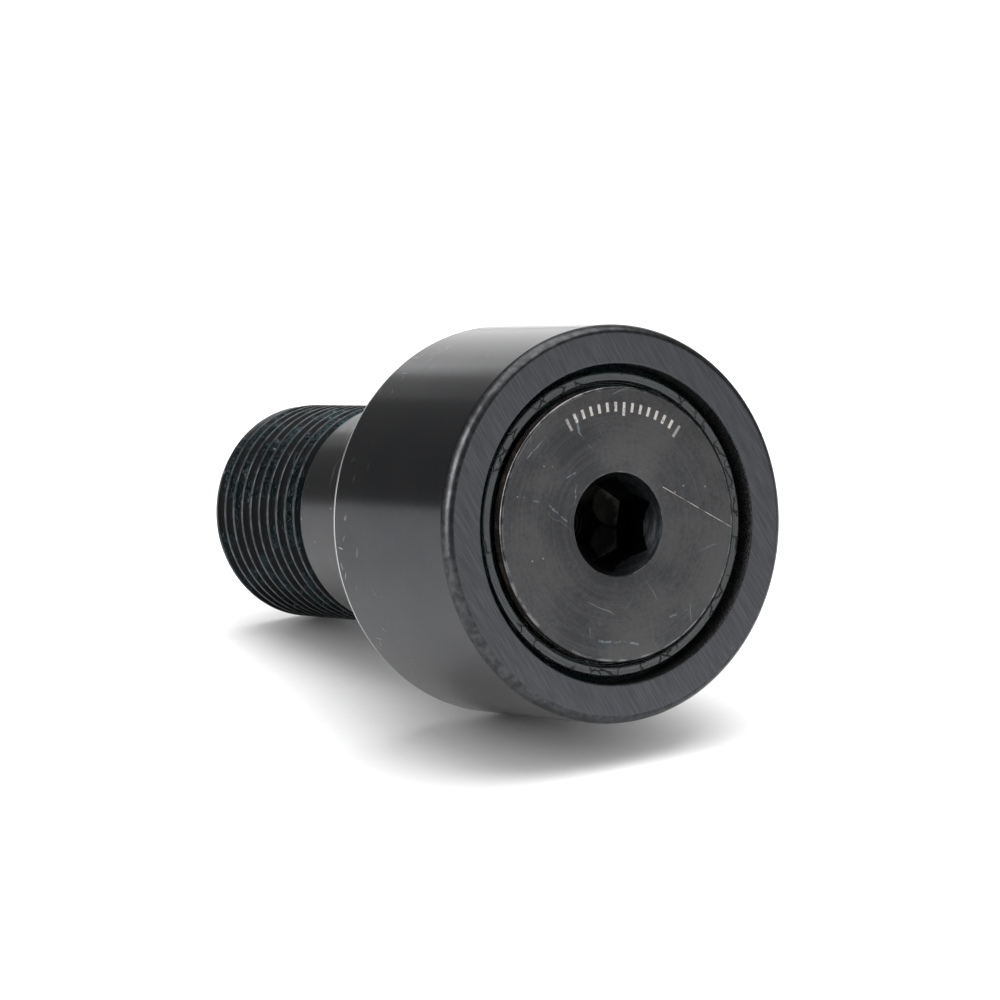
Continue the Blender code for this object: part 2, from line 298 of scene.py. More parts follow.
smooth(roller_ring, 6)
say(roller_ring)

# %% [markdown]
# ## The front of the stud
# The stud is one bar. Its front end is a round flange whose face sits level with the roller's face, with a hex
# socket in the middle. The socket is made in four steps in a workshop: a pilot hole is drilled, its mouth is
# countersunk, a broach cuts the six flats, and the chips that the broach pushes down stay curled at the bottom.
# Here the pilot, with the rings its drill leaves, and the countersink belong to the turned section, and the
# broach is a six-sided tool that a Boolean takes away.

# %% Draw and spin the flange, raceway and shank
STUD_SIDES = 256
PILOT_RADIUS = 3.80 * MM
PILOT_DEPTH = 8.60 * MM
DRILL_ANGLE = math.radians(59)
MOUTH_RADIUS = 5.00 * MM
MOUTH_SLOPE = math.tan(math.radians(30))
FLANGE_ROUND = 0.35 * MM
RELIEF_RADIUS = INNER_RACEWAY_RADIUS - 0.20 * MM
RELIEF_WIDTH = 0.60 * MM
THREAD_START_X = END_X + 19.05 * MM
PITCH = 25.4 / 14 * MM
THREAD_DEPTH = 20 / 64 * PITCH / math.tan(math.radians(30))
TAIL_X = THREAD_START_X - 1.25 * PITCH

flange_back_x = FACE_X - PLATE
pilot_floor_x = FACE_X - PILOT_DEPTH
DRILL_RINGS = 12
drill_cone = []
for ring in range(2 * DRILL_RINGS + 1):
    radius = PILOT_RADIUS * ring / (2 * DRILL_RINGS)
    ripple = 0.06 * MM * (ring % 2)
    drill_cone.append((pilot_floor_x - (PILOT_RADIUS - radius) / math.tan(DRILL_ANGLE) - ripple, radius))
stud_section = [
    *drill_cone,
    (FACE_X - (MOUTH_RADIUS - PILOT_RADIUS) / MOUTH_SLOPE, PILOT_RADIUS),
    (FACE_X, MOUTH_RADIUS),
    *arc(FACE_X - FLANGE_ROUND, FLANGE_RADIUS - FLANGE_ROUND, FLANGE_ROUND, FLANGE_ROUND, 0, 90, 6),
    (flange_back_x, FLANGE_RADIUS),
    (flange_back_x, RELIEF_RADIUS),
    (flange_back_x - RELIEF_WIDTH, RELIEF_RADIUS),
    (flange_back_x - RELIEF_WIDTH, INNER_RACEWAY_RADIUS),
    (PLATE, INNER_RACEWAY_RADIUS),
    (PLATE, SEAT_RADIUS),
    (0.0, SEAT_RADIUS),
    (STUD_RADIUS - SEAT_RADIUS, STUD_RADIUS),
    (THREAD_START_X - 0.05 * MM, STUD_RADIUS),
    (TAIL_X, STUD_RADIUS - THREAD_DEPTH - 0.05 * MM),
    (TAIL_X, 0.0),
]
stud_front = lathe("stud_body", stud_section, STUD_SIDES, closed=False)
round_edge(stud_front, FACE_X, MOUTH_RADIUS, 0.07 * MM)
say(stud_front)

# %% [markdown]
# The broach is a prism whose long edges are worn a little round. It stands turned by 19.5 degrees, as it
# happened to meet the bar. A small drill from the side then opens the grease feed into the raceway.

# %% Broach the hex and drill the raceway feed
HEX_FLATS = 7.9375 * MM
HEX_TURN = math.radians(19.5)
HEX_DEPTH = 6.90 * MM
HEX_CORNER = HEX_FLATS / 2 / math.cos(math.radians(30))
OVERRUN = 1.0 * MM
BROACH_WEAR = 0.10 * MM


def broach_tool():
    """The six-sided cutter, with its long edges slightly rounded."""
    clear_selection()
    length = HEX_DEPTH + OVERRUN
    bpy.ops.mesh.primitive_cylinder_add(vertices=6, radius=HEX_CORNER, depth=length, location=(0, 0, 0))
    tool = bpy.context.object
    tool.name = "broach_tool"
    bpy.ops.object.mode_set(mode="EDIT")
    pick("EDGE", lambda p: True)
    shape = bmesh.from_edit_mesh(tool.data)
    for edge in shape.edges:
        edge.select_set(abs(edge.verts[0].co.z - edge.verts[1].co.z) > length / 2)
    bmesh.update_edit_mesh(tool.data)
    bpy.ops.mesh.bevel(offset=BROACH_WEAR, segments=3, affect="EDGES")
    bpy.ops.object.mode_set(mode="OBJECT")
    first_corner = min(math.degrees(math.atan2(v.co.y, v.co.x)) % 60 for v in tool.data.vertices)
    print(f"broach corner found at {first_corner:.1f} degrees")
    return tool


def stand_along_x(tool, middle_x, turn):
    """Lays a tool made along Z down along X, turns it about X, and puts its middle at middle_x."""
    tool.matrix_world = (
        Matrix.Translation((middle_x, 0, 0))
        @ Matrix.Rotation(turn, 4, "X")
        @ Matrix(((0, 0, 1, 0), (1, 0, 0, 0), (0, 1, 0, 0), (0, 0, 0, 1)))
    )
    take(tool)
    apply_places()


tool = broach_tool()
stand_along_x(tool, FACE_X - HEX_DEPTH + (HEX_DEPTH + OVERRUN) / 2, HEX_TURN + math.radians(30))
combine(stud_front, tool, "DIFFERENCE")

FEED_X = 7.0 * MM
FEED_RADIUS = 1.2 * MM
clear_selection()
bpy.ops.mesh.primitive_cylinder_add(vertices=48, radius=FEED_RADIUS, depth=12 * MM, location=(FEED_X, 0, 7.2 * MM))
combine(stud_front, bpy.context.object, "DIFFERENCE")
say(stud_front)

# %% [markdown]
# ## The thread
# A thread is one small profile that climbs by its pitch each turn. The Screw modifier does exactly that, while a
# stack of plain rings would look wrong where the thread starts and ends. The profile covers one pitch from the
# middle of a crest to the middle of the next one, with a flat crest, 30-degree flanks and a rounded root.

# %% Screw the thread up
CREST_RADIUS = STUD_RADIUS - 0.0125 * MM
ROOT_RADIUS = STUD_RADIUS - THREAD_DEPTH
THREAD_STEPS = 128
crest_half = 6 / 64 * PITCH
root_start = 26 / 64 * PITCH
root_end = 38 / 64 * PITCH
nose = 0.05 * MM
profile = [
    (0.0, CREST_RADIUS),
    (crest_half - nose, CREST_RADIUS),
    (crest_half + nose * 0.4, CREST_RADIUS - nose),
    (root_start - nose, ROOT_RADIUS + 2 * nose),
    (root_start + nose, ROOT_RADIUS + 0.4 * nose),
    ((root_start + root_end) / 2, ROOT_RADIUS),
]
profile += [(PITCH - x, radius) for x, radius in reversed(profile[:-1])]
phase = (6 / 64 + 0.25 - 2) * PITCH

thread_profile = [(END_X + phase + x, radius) for x, radius in profile]
thread = draw_section("thread", thread_profile, closed=False)
bpy.ops.object.mode_set(mode="OBJECT")
step = thread.modifiers.new("climb", "SCREW")
step.axis = "X"
step.screw_offset = PITCH
step.angle = TURN
step.iterations = 14
step.steps = THREAD_STEPS
step.render_steps = THREAD_STEPS
bpy.ops.object.modifier_apply(modifier=step.name)
print("thread surface:", len(thread.data.vertices), "points")

# %% [markdown]
# The helical tube is open at both ends. It is welded, cut square with Bisect at the stud's end and under the
# shank, and filled there. A chamfered blank then trims the first turns, as the lathe did before threading.

# %% Close, trim and chamfer the thread
END_CHAMFER = 1.0 * MM
THREAD_BURIED_X = THREAD_START_X + 0.3 * MM
take(thread)
bpy.ops.object.mode_set(mode="EDIT")
bpy.ops.mesh.select_all(action="SELECT")
bpy.ops.mesh.remove_doubles(threshold=1e-6)
bpy.ops.mesh.bisect(plane_co=(END_X, 0, 0), plane_no=(1, 0, 0), use_fill=True, clear_inner=True, threshold=1e-8)
bpy.ops.mesh.select_all(action="SELECT")
bpy.ops.mesh.bisect(
    plane_co=(THREAD_BURIED_X, 0, 0), plane_no=(1, 0, 0), use_fill=True, clear_outer=True, threshold=1e-8
)
bpy.ops.mesh.select_all(action="SELECT")
bpy.ops.mesh.normals_make_consistent(inside=False)
bpy.ops.object.mode_set(mode="OBJECT")
say(thread)

blank_radius = STUD_RADIUS + 0.5 * MM
blank_section = [
    (END_X - 1 * MM, 0.0),
    (END_X - 1 * MM, STUD_RADIUS - END_CHAMFER - 1 * MM),
    (END_X + END_CHAMFER + 0.5 * MM, blank_radius),
    (THREAD_START_X + 2 * MM, blank_radius),
    (THREAD_START_X + 2 * MM, 0.0),
]
blank = lathe("blank", blank_section, 192, closed=False)
combine(thread, blank, "INTERSECT")
say(thread)

# %% [markdown]
# Now the two halves become one bar, and the grease passages are drilled: one up the middle from the threaded
# end, and one across the shank. Each drill has a cone on it, because a deburred hole has a small countersink.

# %% Join the stud and drill its grease holes
combine(stud_front, thread, "UNION")
say(stud_front)

AXIAL_TIP_X = 9.5 * MM
DRILL_SIDES = 64
sink = 0.30 * MM
axial_section = [
    (AXIAL_TIP_X, 0.0),
    (AXIAL_TIP_X - GREASE_HOLE_RADIUS / math.tan(DRILL_ANGLE), GREASE_HOLE_RADIUS),
    (END_X + sink, GREASE_HOLE_RADIUS),
    (END_X - OVERRUN, GREASE_HOLE_RADIUS + sink + OVERRUN),
    (END_X - OVERRUN, 0.0),
]
combine(stud_front, lathe("axial_drill", axial_section, DRILL_SIDES, closed=False), "DIFFERENCE")

CROSS_X = -9.525 * MM
cross_section = [
    (1.2 * MM, 0.0),
    (1.2 * MM, GREASE_HOLE_RADIUS),
    (STUD_RADIUS - 0.45 * MM, GREASE_HOLE_RADIUS),
    (STUD_RADIUS + 0.4 * MM, GREASE_HOLE_RADIUS + 0.85 * MM),
    (STUD_RADIUS + 0.4 * MM, 0.0),
]
cross_drill = lathe("cross_drill", cross_section, DRILL_SIDES, closed=False)
cross_drill.matrix_world = Matrix.Translation((CROSS_X, 0, 0)) @ Matrix.Rotation(math.pi / 2, 4, "Z")
take(cross_drill)
apply_places()
combine(stud_front, cross_drill, "DIFFERENCE")
weld(stud_front, 5e-7)
smooth(stud_front, 22)
say(stud_front)

# %% [markdown]
# ## The broach chips
# At the bottom of the socket six chips still hang on, one in each corner: flat round tongues that the broach's
# teeth rolled ahead of them, with their outer edges lifted. A tongue is a ball flattened to a lens, tipped up
# towards its corner, and trimmed with Bisect along the two flats it sits between. It is made once and copied.

# %% Model one chip and copy it round the socket
CHIP_RADIUS = 2.50 * MM
CHIP_PLACE = 4.30 * MM
CHIP_FLATTEN = 0.07
CHIP_TIP = math.radians(13)
CHIP_X = FACE_X - 6.40 * MM


def make_chip():
    """One flat tongue in the corner towards +Y, trimmed to the two flats beside it."""
    clear_selection()
    bpy.ops.mesh.primitive_uv_sphere_add(segments=48, ring_count=24, radius=CHIP_RADIUS, location=(0, 0, 0))
    chip = bpy.context.object
    chip.name = "broach_chips"
    bpy.ops.object.mode_set(mode="EDIT")
    bpy.ops.mesh.select_mode(type="VERT")
    bpy.ops.mesh.select_all(action="SELECT")
    bpy.ops.transform.resize(value=(CHIP_FLATTEN, 1, 1), center_override=(0, 0, 0))
    bpy.ops.transform.rotate(value=CHIP_TIP, orient_axis="Z", center_override=(0, 0, 0))
    bpy.ops.transform.translate(value=(CHIP_X, CHIP_PLACE, 0))
    for side in (30, -30):
        angle = math.radians(side)
        outward = Vector((0, math.cos(angle), math.sin(angle)))
        bpy.ops.mesh.select_all(action="SELECT")
        bpy.ops.mesh.bisect(
            plane_co=outward * (HEX_FLATS / 2 - 0.02 * MM),
            plane_no=outward,
            clear_outer=True,
            use_fill=True,
            threshold=1e-8,
        )
    bpy.ops.object.mode_set(mode="OBJECT")
    outer = max(chip.data.vertices, key=lambda vertex: vertex.co.y).co
    print(f"chip rim at its corner stands {(outer.x - CHIP_X) / MM:.2f} mm above its middle")
    return chip


first_chip = make_chip()
chips = []
CHIP_LIFTS = (0.06, -0.03, 0.09, 0.0, 0.04, -0.06)
for number, lift in enumerate(CHIP_LIFTS):
    chip = copy_of(first_chip)
    chip.location.x = lift * MM
    chip.rotation_euler.x = HEX_TURN + TURN * number / 6
    chips.append(chip)
bpy.data.objects.remove(first_chip, do_unlink=True)
clear_selection()
for chip in chips:
    chip.select_set(True)
bpy.context.view_layer.objects.active = chips[0]
apply_places()
bpy.ops.object.join()
broach_chips = bpy.context.object
broach_chips.name = "broach_chips"
smooth(broach_chips, 30)
say(broach_chips)

# %% [markdown]
# ## The back washer
# A hardened washer is pressed on the stud behind the needles. Its outer face is the shoulder that bears on the
# machine. It is a plain turned ring with rounded rims.

# %% Spin the back washer
WASHER_SIDES = 192
washer_bore = SEAT_RADIUS + 0.02 * MM
washer_round = 0.35 * MM
bore_round = 0.12 * MM
washer_section = [
    *arc(washer_low.x + bore_round, washer_bore + bore_round, bore_round, bore_round, 270, 180, 3),
    *arc(washer_low.x + washer_round, WASHER_RADIUS - washer_round, washer_round, washer_round, 180, 90, 6),
    *arc(washer_high.x - washer_round, WASHER_RADIUS - washer_round, washer_round, washer_round, 90, 0, 6),
    (washer_high.x, washer_bore),
]
back_washer = lathe("back_washer", washer_section, WASHER_SIDES, closed=True)
smooth(back_washer, 16)
say(back_washer)

# %% [markdown]
# ## The seals
# Each seal is a moulded rubber ring: a flat foot in the counterbore, a fat round bead and a thin lip beside the
# flange. Rubber that has sat in grease isn't true like turned steel, so the clean ring gets a Displace modifier
# with a cloud pattern, which is applied. That makes the waves real, where a bump would leave the outline perfect.

# %% Helper: make soft lumps in a mesh
def lump(piece, size, strength, depth=2):
    """Pushes the surface in and out by up to half the strength, with a cloud pattern of this size."""
    clouds = bpy.data.textures.new(piece.name + "_lumps", "CLOUDS")
    clouds.noise_scale = size
    clouds.noise_depth = depth
    take(piece)
    push = piece.modifiers.new("lumps", "DISPLACE")
    push.texture = clouds
    push.texture_coords = "LOCAL"
    push.strength = strength
    push.mid_level = 0.5
    bpy.ops.object.modifier_apply(modifier=push.name)


# %% Spin the two seals
SEAL_SIDES = 400
SEAL_BEAD_INNER = 13.62 * MM
SEAL_BEAD_OUTER = 14.52 * MM
SEAL_SHOULDER = 0.20 * MM


def make_seal(name, foot_x, top_x):
    """A seal from its foot's plane to the top of its bead. The two may lie either way along X."""
    inward = 1 if foot_x > top_x else -1
    height = abs(top_x - foot_x)

    def at(up, radius):
        return (foot_x - inward * up, radius)

    bead_inner = SEAL_BEAD_INNER
    bead_outer = SEAL_BEAD_OUTER
    shoulder = SEAL_SHOULDER
    bead_top = height - 0.04 * MM
    neck = min(1.25 * MM, bead_top - shoulder - 0.01 * MM)
    crown = []
    for step in range(6):
        angle = math.radians(90) * step / 5
        crown.append(at(bead_top - shoulder * (1 - math.sin(angle)), bead_outer - shoulder * (1 - math.cos(angle))))
    crown_width = bead_outer - bead_inner - 2 * shoulder
    for share, dip in ((0.25, 0.015), (0.5, 0.03), (0.75, 0.02)):
        crown.append(at(bead_top - dip * MM, bead_outer - shoulder - share * crown_width))
    for step in range(6):
        angle = math.radians(90) * (1 - step / 5)
        crown.append(at(bead_top - shoulder * (1 - math.sin(angle)), bead_inner + shoulder * (1 - math.cos(angle))))
    section = [
        at(0.0, 13.30 * MM),
        at(0.0, 14.40 * MM),
        at(0.0, seal_high.z - 0.05 * MM),
        at(0.10 * MM, seal_high.z),
        at(0.45 * MM, seal_high.z),
        at(0.55 * MM, seal_high.z - 0.12 * MM),
        at(0.75 * MM, 14.88 * MM),
        at(min(1.00 * MM, neck), bead_outer + 0.05 * MM),
        at(neck, bead_outer),
        *crown,
        at(neck, bead_inner + 0.03 * MM),
        at(min(1.12 * MM, neck), 13.52 * MM),
        at(min(1.26 * MM, neck), 13.44 * MM),
        at(min(1.42 * MM, neck + 0.2 * MM), 13.36 * MM),
        at(min(1.40 * MM, neck + 0.2 * MM), 13.28 * MM),
        at(1.15 * MM, 13.25 * MM),
        at(0.50 * MM, 13.25 * MM),
    ]
    seal = lathe(name, section, SEAL_SIDES, closed=True)
    lump(seal, 2.2 * MM, 0.05 * MM)
    lump(seal, 0.6 * MM, 0.03 * MM)
    smooth(seal, 40)
    say(seal)
    return seal


front_seal_ring = make_seal("front_seal_ring", seal_low.x, seal_high.x)
back_seal_ring = make_seal("back_seal_ring", back_seal_high.x, back_seal_low.x)

# %% [markdown]
# Old grease has been squeezed out beside the front bead. It isn't an even film: it stands in ridges and thin
# smears, with gaps between. A slim ring with strong lumps gives that, because it dips under the rubber wherever
# the lumps push it in.

# %% Squeeze out the grease
def grease_ridge(name, x, radius, size_x, size_radius, wave, strength):
    """A slim, uneven ridge of grease."""
    section = arc(x, radius, size_x, size_radius, 0, 360, 12)[:-1]
    ridge = lathe(name, section, SEAL_SIDES, closed=True)
    lump(ridge, wave, strength, depth=3)
    return ridge


outer_ridge = grease_ridge(
    "front_grease", seal_high.x - 0.50 * MM, 14.44 * MM, 0.14 * MM, 0.14 * MM, wave=1.6 * MM, strength=0.34 * MM
)
inner_ridge = grease_ridge(
    "inner_ridge", seal_high.x - 0.66 * MM, 13.52 * MM, 0.16 * MM, 0.10 * MM, wave=0.9 * MM, strength=0.22 * MM
)
clear_selection()
inner_ridge.select_set(True)
outer_ridge.select_set(True)
bpy.context.view_layer.objects.active = outer_ridge
bpy.ops.object.join()
front_grease = bpy.context.object
smooth(front_grease, 60)
say(front_grease)

# %% [markdown]
# ## Needles and plugs
# The needles fill the space between the two raceways. They can't be seen from outside, but they are real pieces
# that turn with their own joint, so they are made as fine as the rest: one needle with rounded ends, copied
# round the axis with a mesh each.

# %% Model one needle and copy it
NEEDLE_COUNT = 28
NEEDLE_SIDES = 32
needle_radius = (needle_high.z - needle_low.z) / 2
needle_axis_radius = (needle_high.y + needle_low.y) / 2
needle_round = 0.30 * MM
needle_section = [
    (needle_low.x, 0.0),
    *arc(needle_low.x + needle_round, needle_radius - needle_round, needle_round, needle_round, 180, 90, 4),
    *arc(needle_high.x - needle_round, needle_radius - needle_round, needle_round, needle_round, 90, 0, 4),
    (needle_high.x, 0.0),
]
first_needle = lathe("fine_needle_01", needle_section, NEEDLE_SIDES, closed=False)
smooth(first_needle, 25)
fine_needles = [first_needle]
for number in range(1, NEEDLE_COUNT):
    needle = copy_of(first_needle)
    needle.name = f"fine_needle_{number + 1:02d}"
    fine_needles.append(needle)
clear_selection()
for number, needle in enumerate(fine_needles):
    angle = TURN * number / NEEDLE_COUNT
    needle.location = (0, needle_axis_radius * math.cos(angle), needle_axis_radius * math.sin(angle))
    needle.select_set(True)
bpy.context.view_layer.objects.active = first_needle
apply_places()
say(first_needle)

# %% [markdown]
# The unused grease holes are closed with drive plugs: short slugs with a dimple where the punch hit. Each is a
# small section, spun along X, then turned to its hole and applied, so that the object itself stays unturned.

# %% Spin the two plugs
PLUG_LENGTH = 4.50 * MM
PLUG_SIDES = 64
plug_radius = GREASE_HOLE_RADIUS - 0.02 * MM
plug_section = [
    (1.20 * MM, 0.0),
    (1.12 * MM, 0.25 * MM),
    *arc(0.09 * MM, 1.50 * MM, 0.09 * MM, 0.06 * MM, 270, 180, 3),
    *arc(0.12 * MM, plug_radius - 0.12 * MM, 0.12 * MM, 0.12 * MM, 180, 90, 3),
    (PLUG_LENGTH - 0.30 * MM, plug_radius),
    (PLUG_LENGTH, plug_radius - 0.30 * MM),
    (PLUG_LENGTH, 0.0),
]


def make_plug(name, place):
    """A plug whose dimpled end, which faces -X as drawn, is put where place says."""
    plug = lathe(name, plug_section, PLUG_SIDES, closed=False)
    plug.matrix_world = place
    take(plug)
    apply_places()
    smooth(plug, 25)
    say(plug)
    return plug


end_plug_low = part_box("end_plug")[0]
cross_plug_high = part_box("cross_hole_plug")[1]
end_drive_plug = make_plug("end_drive_plug", Matrix.Translation((end_plug_low.x, 0, 0)))
cross_drive_plug = make_plug(
    "cross_drive_plug",
    Matrix.Translation((CROSS_X, cross_plug_high.y, 0)) @ Matrix.Rotation(-math.pi / 2, 4, "Z"),
)

# %% [markdown]
# ## Riding on the model
# Every piece now takes the place of its plain counterpart and moves with the same body: the ring, seals and
# grease with the roller, the needles with their own joint, and the rest with the stud.

# %% Put each piece on its body
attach(roller_ring, "roller")
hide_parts("outer_ring")

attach(stud_front, "stud")
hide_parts("stud")

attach(broach_chips, "stud")

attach(back_washer, "stud")
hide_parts("back_endplate")

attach(front_seal_ring, "roller")
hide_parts("front_seal")

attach(back_seal_ring, "roller")
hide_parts("back_seal")

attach(front_grease, "roller")

for number, needle in enumerate(fine_needles):
    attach(needle, "needles")
    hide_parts(f"needle_{number + 1:02d}")

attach(end_drive_plug, "stud")
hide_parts("end_plug")

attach(cross_drive_plug, "stud")
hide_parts("cross_hole_plug")

# %% [markdown]
# ## Small tools for finishes
# A finish is a network of nodes. `put` adds one node and fills its inputs, so that a network reads from top to
# bottom like a recipe. The next helpers are the steps used most: a sum, a soft threshold, a mix and a noise.

# %% Helper: add nodes
def put(tree, kind, inputs=None, **settings):
    """Adds a node, sets its own settings, and fills its inputs with numbers or links."""
    node = tree.nodes.new(kind)
    for key, value in settings.items():
        setattr(node, key, value)
    for key, value in (inputs or {}).items():
        if isinstance(value, bpy.types.NodeSocket):
            tree.links.new(value, node.inputs[key])
        else:
            node.inputs[key].default_value = value
    return node


def calc(tree, operation, *values):
    """A Math node on one to three values."""
    return put(tree, "ShaderNodeMath", dict(enumerate(values)), operation=operation).outputs[0]


def times(tree, first, second):
    """The product of two values."""
    return calc(tree, "MULTIPLY", first, second)


def inverse(tree, value):
    """One minus the value."""
    return calc(tree, "SUBTRACT", 1.0, value)


def vary(tree, base, pattern, amount):
    """The base value, raised by the amount where the pattern is 1."""
    return calc(tree, "ADD", base, times(tree, pattern, amount))


def vector_calc(tree, operation, *values):
    """A Vector Math node that gives a vector."""
    return put(tree, "ShaderNodeVectorMath", dict(enumerate(values)), operation=operation).outputs["Vector"]


def soft_step(tree, value, low, high):
    """0 below low, 1 above high, and a smooth rise between. With low above high it falls instead."""
    node = put(
        tree,
        "ShaderNodeMapRange",
        {"Value": value, "From Min": low, "From Max": high},
        interpolation_type="SMOOTHSTEP",
    )
    return node.outputs["Result"]


def blend_values(tree, share, first, second):
    """first where the share is 0, second where it is 1."""
    node = put(tree, "ShaderNodeMix", {0: share, 2: first, 3: second}, data_type="FLOAT")
    return node.outputs[0]


def blend_colours(tree, share, first, second):
    """The same for colours."""
    node = put(tree, "ShaderNodeMix", {0: share, 6: first, 7: second}, data_type="RGBA")
    return node.outputs[2]


def tint(tree, colour, mask, strength, paint):
    """Lays paint over the colour where the mask is 1, at this strength."""
    return blend_colours(tree, times(tree, mask, strength), colour, paint)


def noise(tree, place, scale, detail=2.0, roughness=0.5):
    """A soft random value from 0 to 1."""
    inputs = {"Vector": place, "Scale": scale, "Detail": detail, "Roughness": roughness}
    return put(tree, "ShaderNodeTexNoise", inputs).outputs[0]


def band(tree, value, low, high, soft):
    """1 between low and high, and 0 outside, with soft edges."""
    rise = soft_step(tree, value, low - soft, low + soft)
    fall = soft_step(tree, value, high + soft, high - soft)
    return times(tree, rise, fall)


# %% [markdown]
# What several finishes share becomes a node group, built once. `new_group` makes one with named sockets.

# %% Helper: start a node group, and use one
SOCKETS = {"value": "NodeSocketFloat", "vector": "NodeSocketVector", "colour": "NodeSocketColor"}


def new_group(name, inputs, outputs):
    """An empty node group. inputs and outputs say the kind of each named socket."""
    group = bpy.data.node_groups.new(name, "ShaderNodeTree")
    for label, kind in inputs.items():
        group.interface.new_socket(name=label, in_out="INPUT", socket_type=SOCKETS[kind])
    for label, kind in outputs.items():
        group.interface.new_socket(name=label, in_out="OUTPUT", socket_type=SOCKETS[kind])
    start = group.nodes.new("NodeGroupInput")
    end = group.nodes.new("NodeGroupOutput")
    return group, start.outputs, end.inputs


def use_group(tree, group, **inputs):
    """Places a group in a material and fills its inputs. An underscore in a name stands for a space."""
    filled = {key.replace("_", " "): value for key, value in inputs.items()}
    return put(tree, "ShaderNodeGroup", filled, node_tree=group).outputs


# %% [markdown]
# **Round place** turns a point into its distance from the axis and its angle round it. Lathe marks, the raceway
# and the mark on the flange all follow the round shape, and this group lets them.

# %% Group: round place
round_place, given, made = new_group(
    "round place", {"Place": "vector"}, {"Radius": "value", "Angle": "value", "Along": "value", "Rings": "vector"}
)
parts = put(round_place, "ShaderNodeSeparateXYZ", {"Vector": given["Place"]}).outputs
flat = put(round_place, "ShaderNodeCombineXYZ", {"Y": parts["Y"], "Z": parts["Z"]}).outputs[0]
radius_node = put(round_place, "ShaderNodeVectorMath", {0: flat}, operation="LENGTH").outputs["Value"]
angle_node = calc(round_place, "ARCTAN2", parts["Z"], parts["Y"])
rings_node = put(
    round_place, "ShaderNodeCombineXYZ", {"X": radius_node, "Y": parts["Y"], "Z": parts["Z"]}
).outputs[0]
for label, value in (("Radius", radius_node), ("Angle", angle_node), ("Along", parts["X"]), ("Rings", rings_node)):
    round_place.links.new(value, made[label])
print("group:", round_place.name)

# %% [markdown]
# **Tool lines** are the fine parallel marks of a grinding wheel or a turning tool. They change fast across the
# marks and slowly along them, so a noise is squeezed in one direction. X of the given place runs across them.

# %% Group: tool lines
tool_lines, given, made = new_group(
    "tool lines", {"Place": "vector", "Fineness": "value", "Drift": "value"}, {"Lines": "value"}
)
squeeze = put(
    tool_lines, "ShaderNodeCombineXYZ", {"X": given["Fineness"], "Y": given["Drift"], "Z": given["Drift"]}
).outputs[0]
squeezed = vector_calc(tool_lines, "MULTIPLY", given["Place"], squeeze)
coarse = noise(tool_lines, squeezed, 1.0, detail=3.0, roughness=0.65)
tool_lines.links.new(coarse, made["Lines"])
print("group:", tool_lines.name)

# %% [markdown]
# **Scratches** are single hairlines that lie anyhow. Voronoi cells scatter them: each cell has a centre and a
# random direction, and the points close to the plane through that centre make one line across the cell.

# %% Group: scratches
scratches, given, made = new_group(
    "scratches", {"Place": "vector", "Per Metre": "value", "Width": "value", "Share": "value"}, {"Mask": "value"}
)
cells = put(
    scratches,
    "ShaderNodeTexVoronoi",
    {"Vector": given["Place"], "Scale": given["Per Metre"]},
    voronoi_dimensions="3D",
    feature="F1",
)
wobble_in = noise(scratches, given["Place"], 300.0, detail=1.0)
scaled_place = put(
    scratches, "ShaderNodeVectorMath", {0: given["Place"], "Scale": given["Per Metre"]}, operation="SCALE"
).outputs["Vector"]
scaled_centre = put(
    scratches, "ShaderNodeVectorMath", {0: cells.outputs["Position"], "Scale": given["Per Metre"]}, operation="SCALE"
).outputs["Vector"]
from_centre = vector_calc(scratches, "SUBTRACT", scaled_place, scaled_centre)
random_way = vector_calc(scratches, "SUBTRACT", cells.outputs["Color"], (0.5, 0.5, 0.5))
direction = vector_calc(scratches, "NORMALIZE", random_way)
off_line = put(
    scratches, "ShaderNodeVectorMath", {0: from_centre, 1: direction}, operation="DOT_PRODUCT"
).outputs["Value"]
bent = calc(scratches, "ADD", off_line, times(scratches, calc(scratches, "SUBTRACT", wobble_in, 0.5), 0.25))
closeness = calc(scratches, "DIVIDE", calc(scratches, "ABSOLUTE", bent), given["Width"])
line = soft_step(scratches, closeness, 1.0, 0.2)
length_fade = soft_step(scratches, cells.outputs["Distance"], 0.55, 0.25)
chance = put(scratches, "ShaderNodeSeparateColor", {"Color": cells.outputs["Color"]}).outputs[0]
chosen = calc(scratches, "LESS_THAN", chance, given["Share"])
mask = times(scratches, times(scratches, line, length_fade), chosen)
scratches.links.new(mask, made["Mask"])
print("group:", scratches.name)

# %% [markdown]
# **Specks** are dust and tiny nicks: small dots in a few of the cells of a second Voronoi pattern.

# %% Group: specks
specks, given, made = new_group(
    "specks", {"Place": "vector", "Per Metre": "value", "Size": "value", "Share": "value"}, {"Mask": "value"}
)
cells = put(specks, "ShaderNodeTexVoronoi", {"Vector": given["Place"], "Scale": given["Per Metre"]}, feature="F1")
roundness = calc(specks, "DIVIDE", cells.outputs["Distance"], given["Size"])
dot = soft_step(specks, roundness, 1.0, 0.5)
chance = put(specks, "ShaderNodeSeparateColor", {"Color": cells.outputs["Color"]}).outputs[1]
chosen = calc(specks, "LESS_THAN", chance, given["Share"])
specks.links.new(times(specks, dot, chosen), made["Mask"])
print("group:", specks.name)

# %% [markdown]
# **Stroke** is one mark with a start and an end: a long scratch, or a smear of dried oil. It measures how far a
# point is from the straight line between the two ends, with some wander.

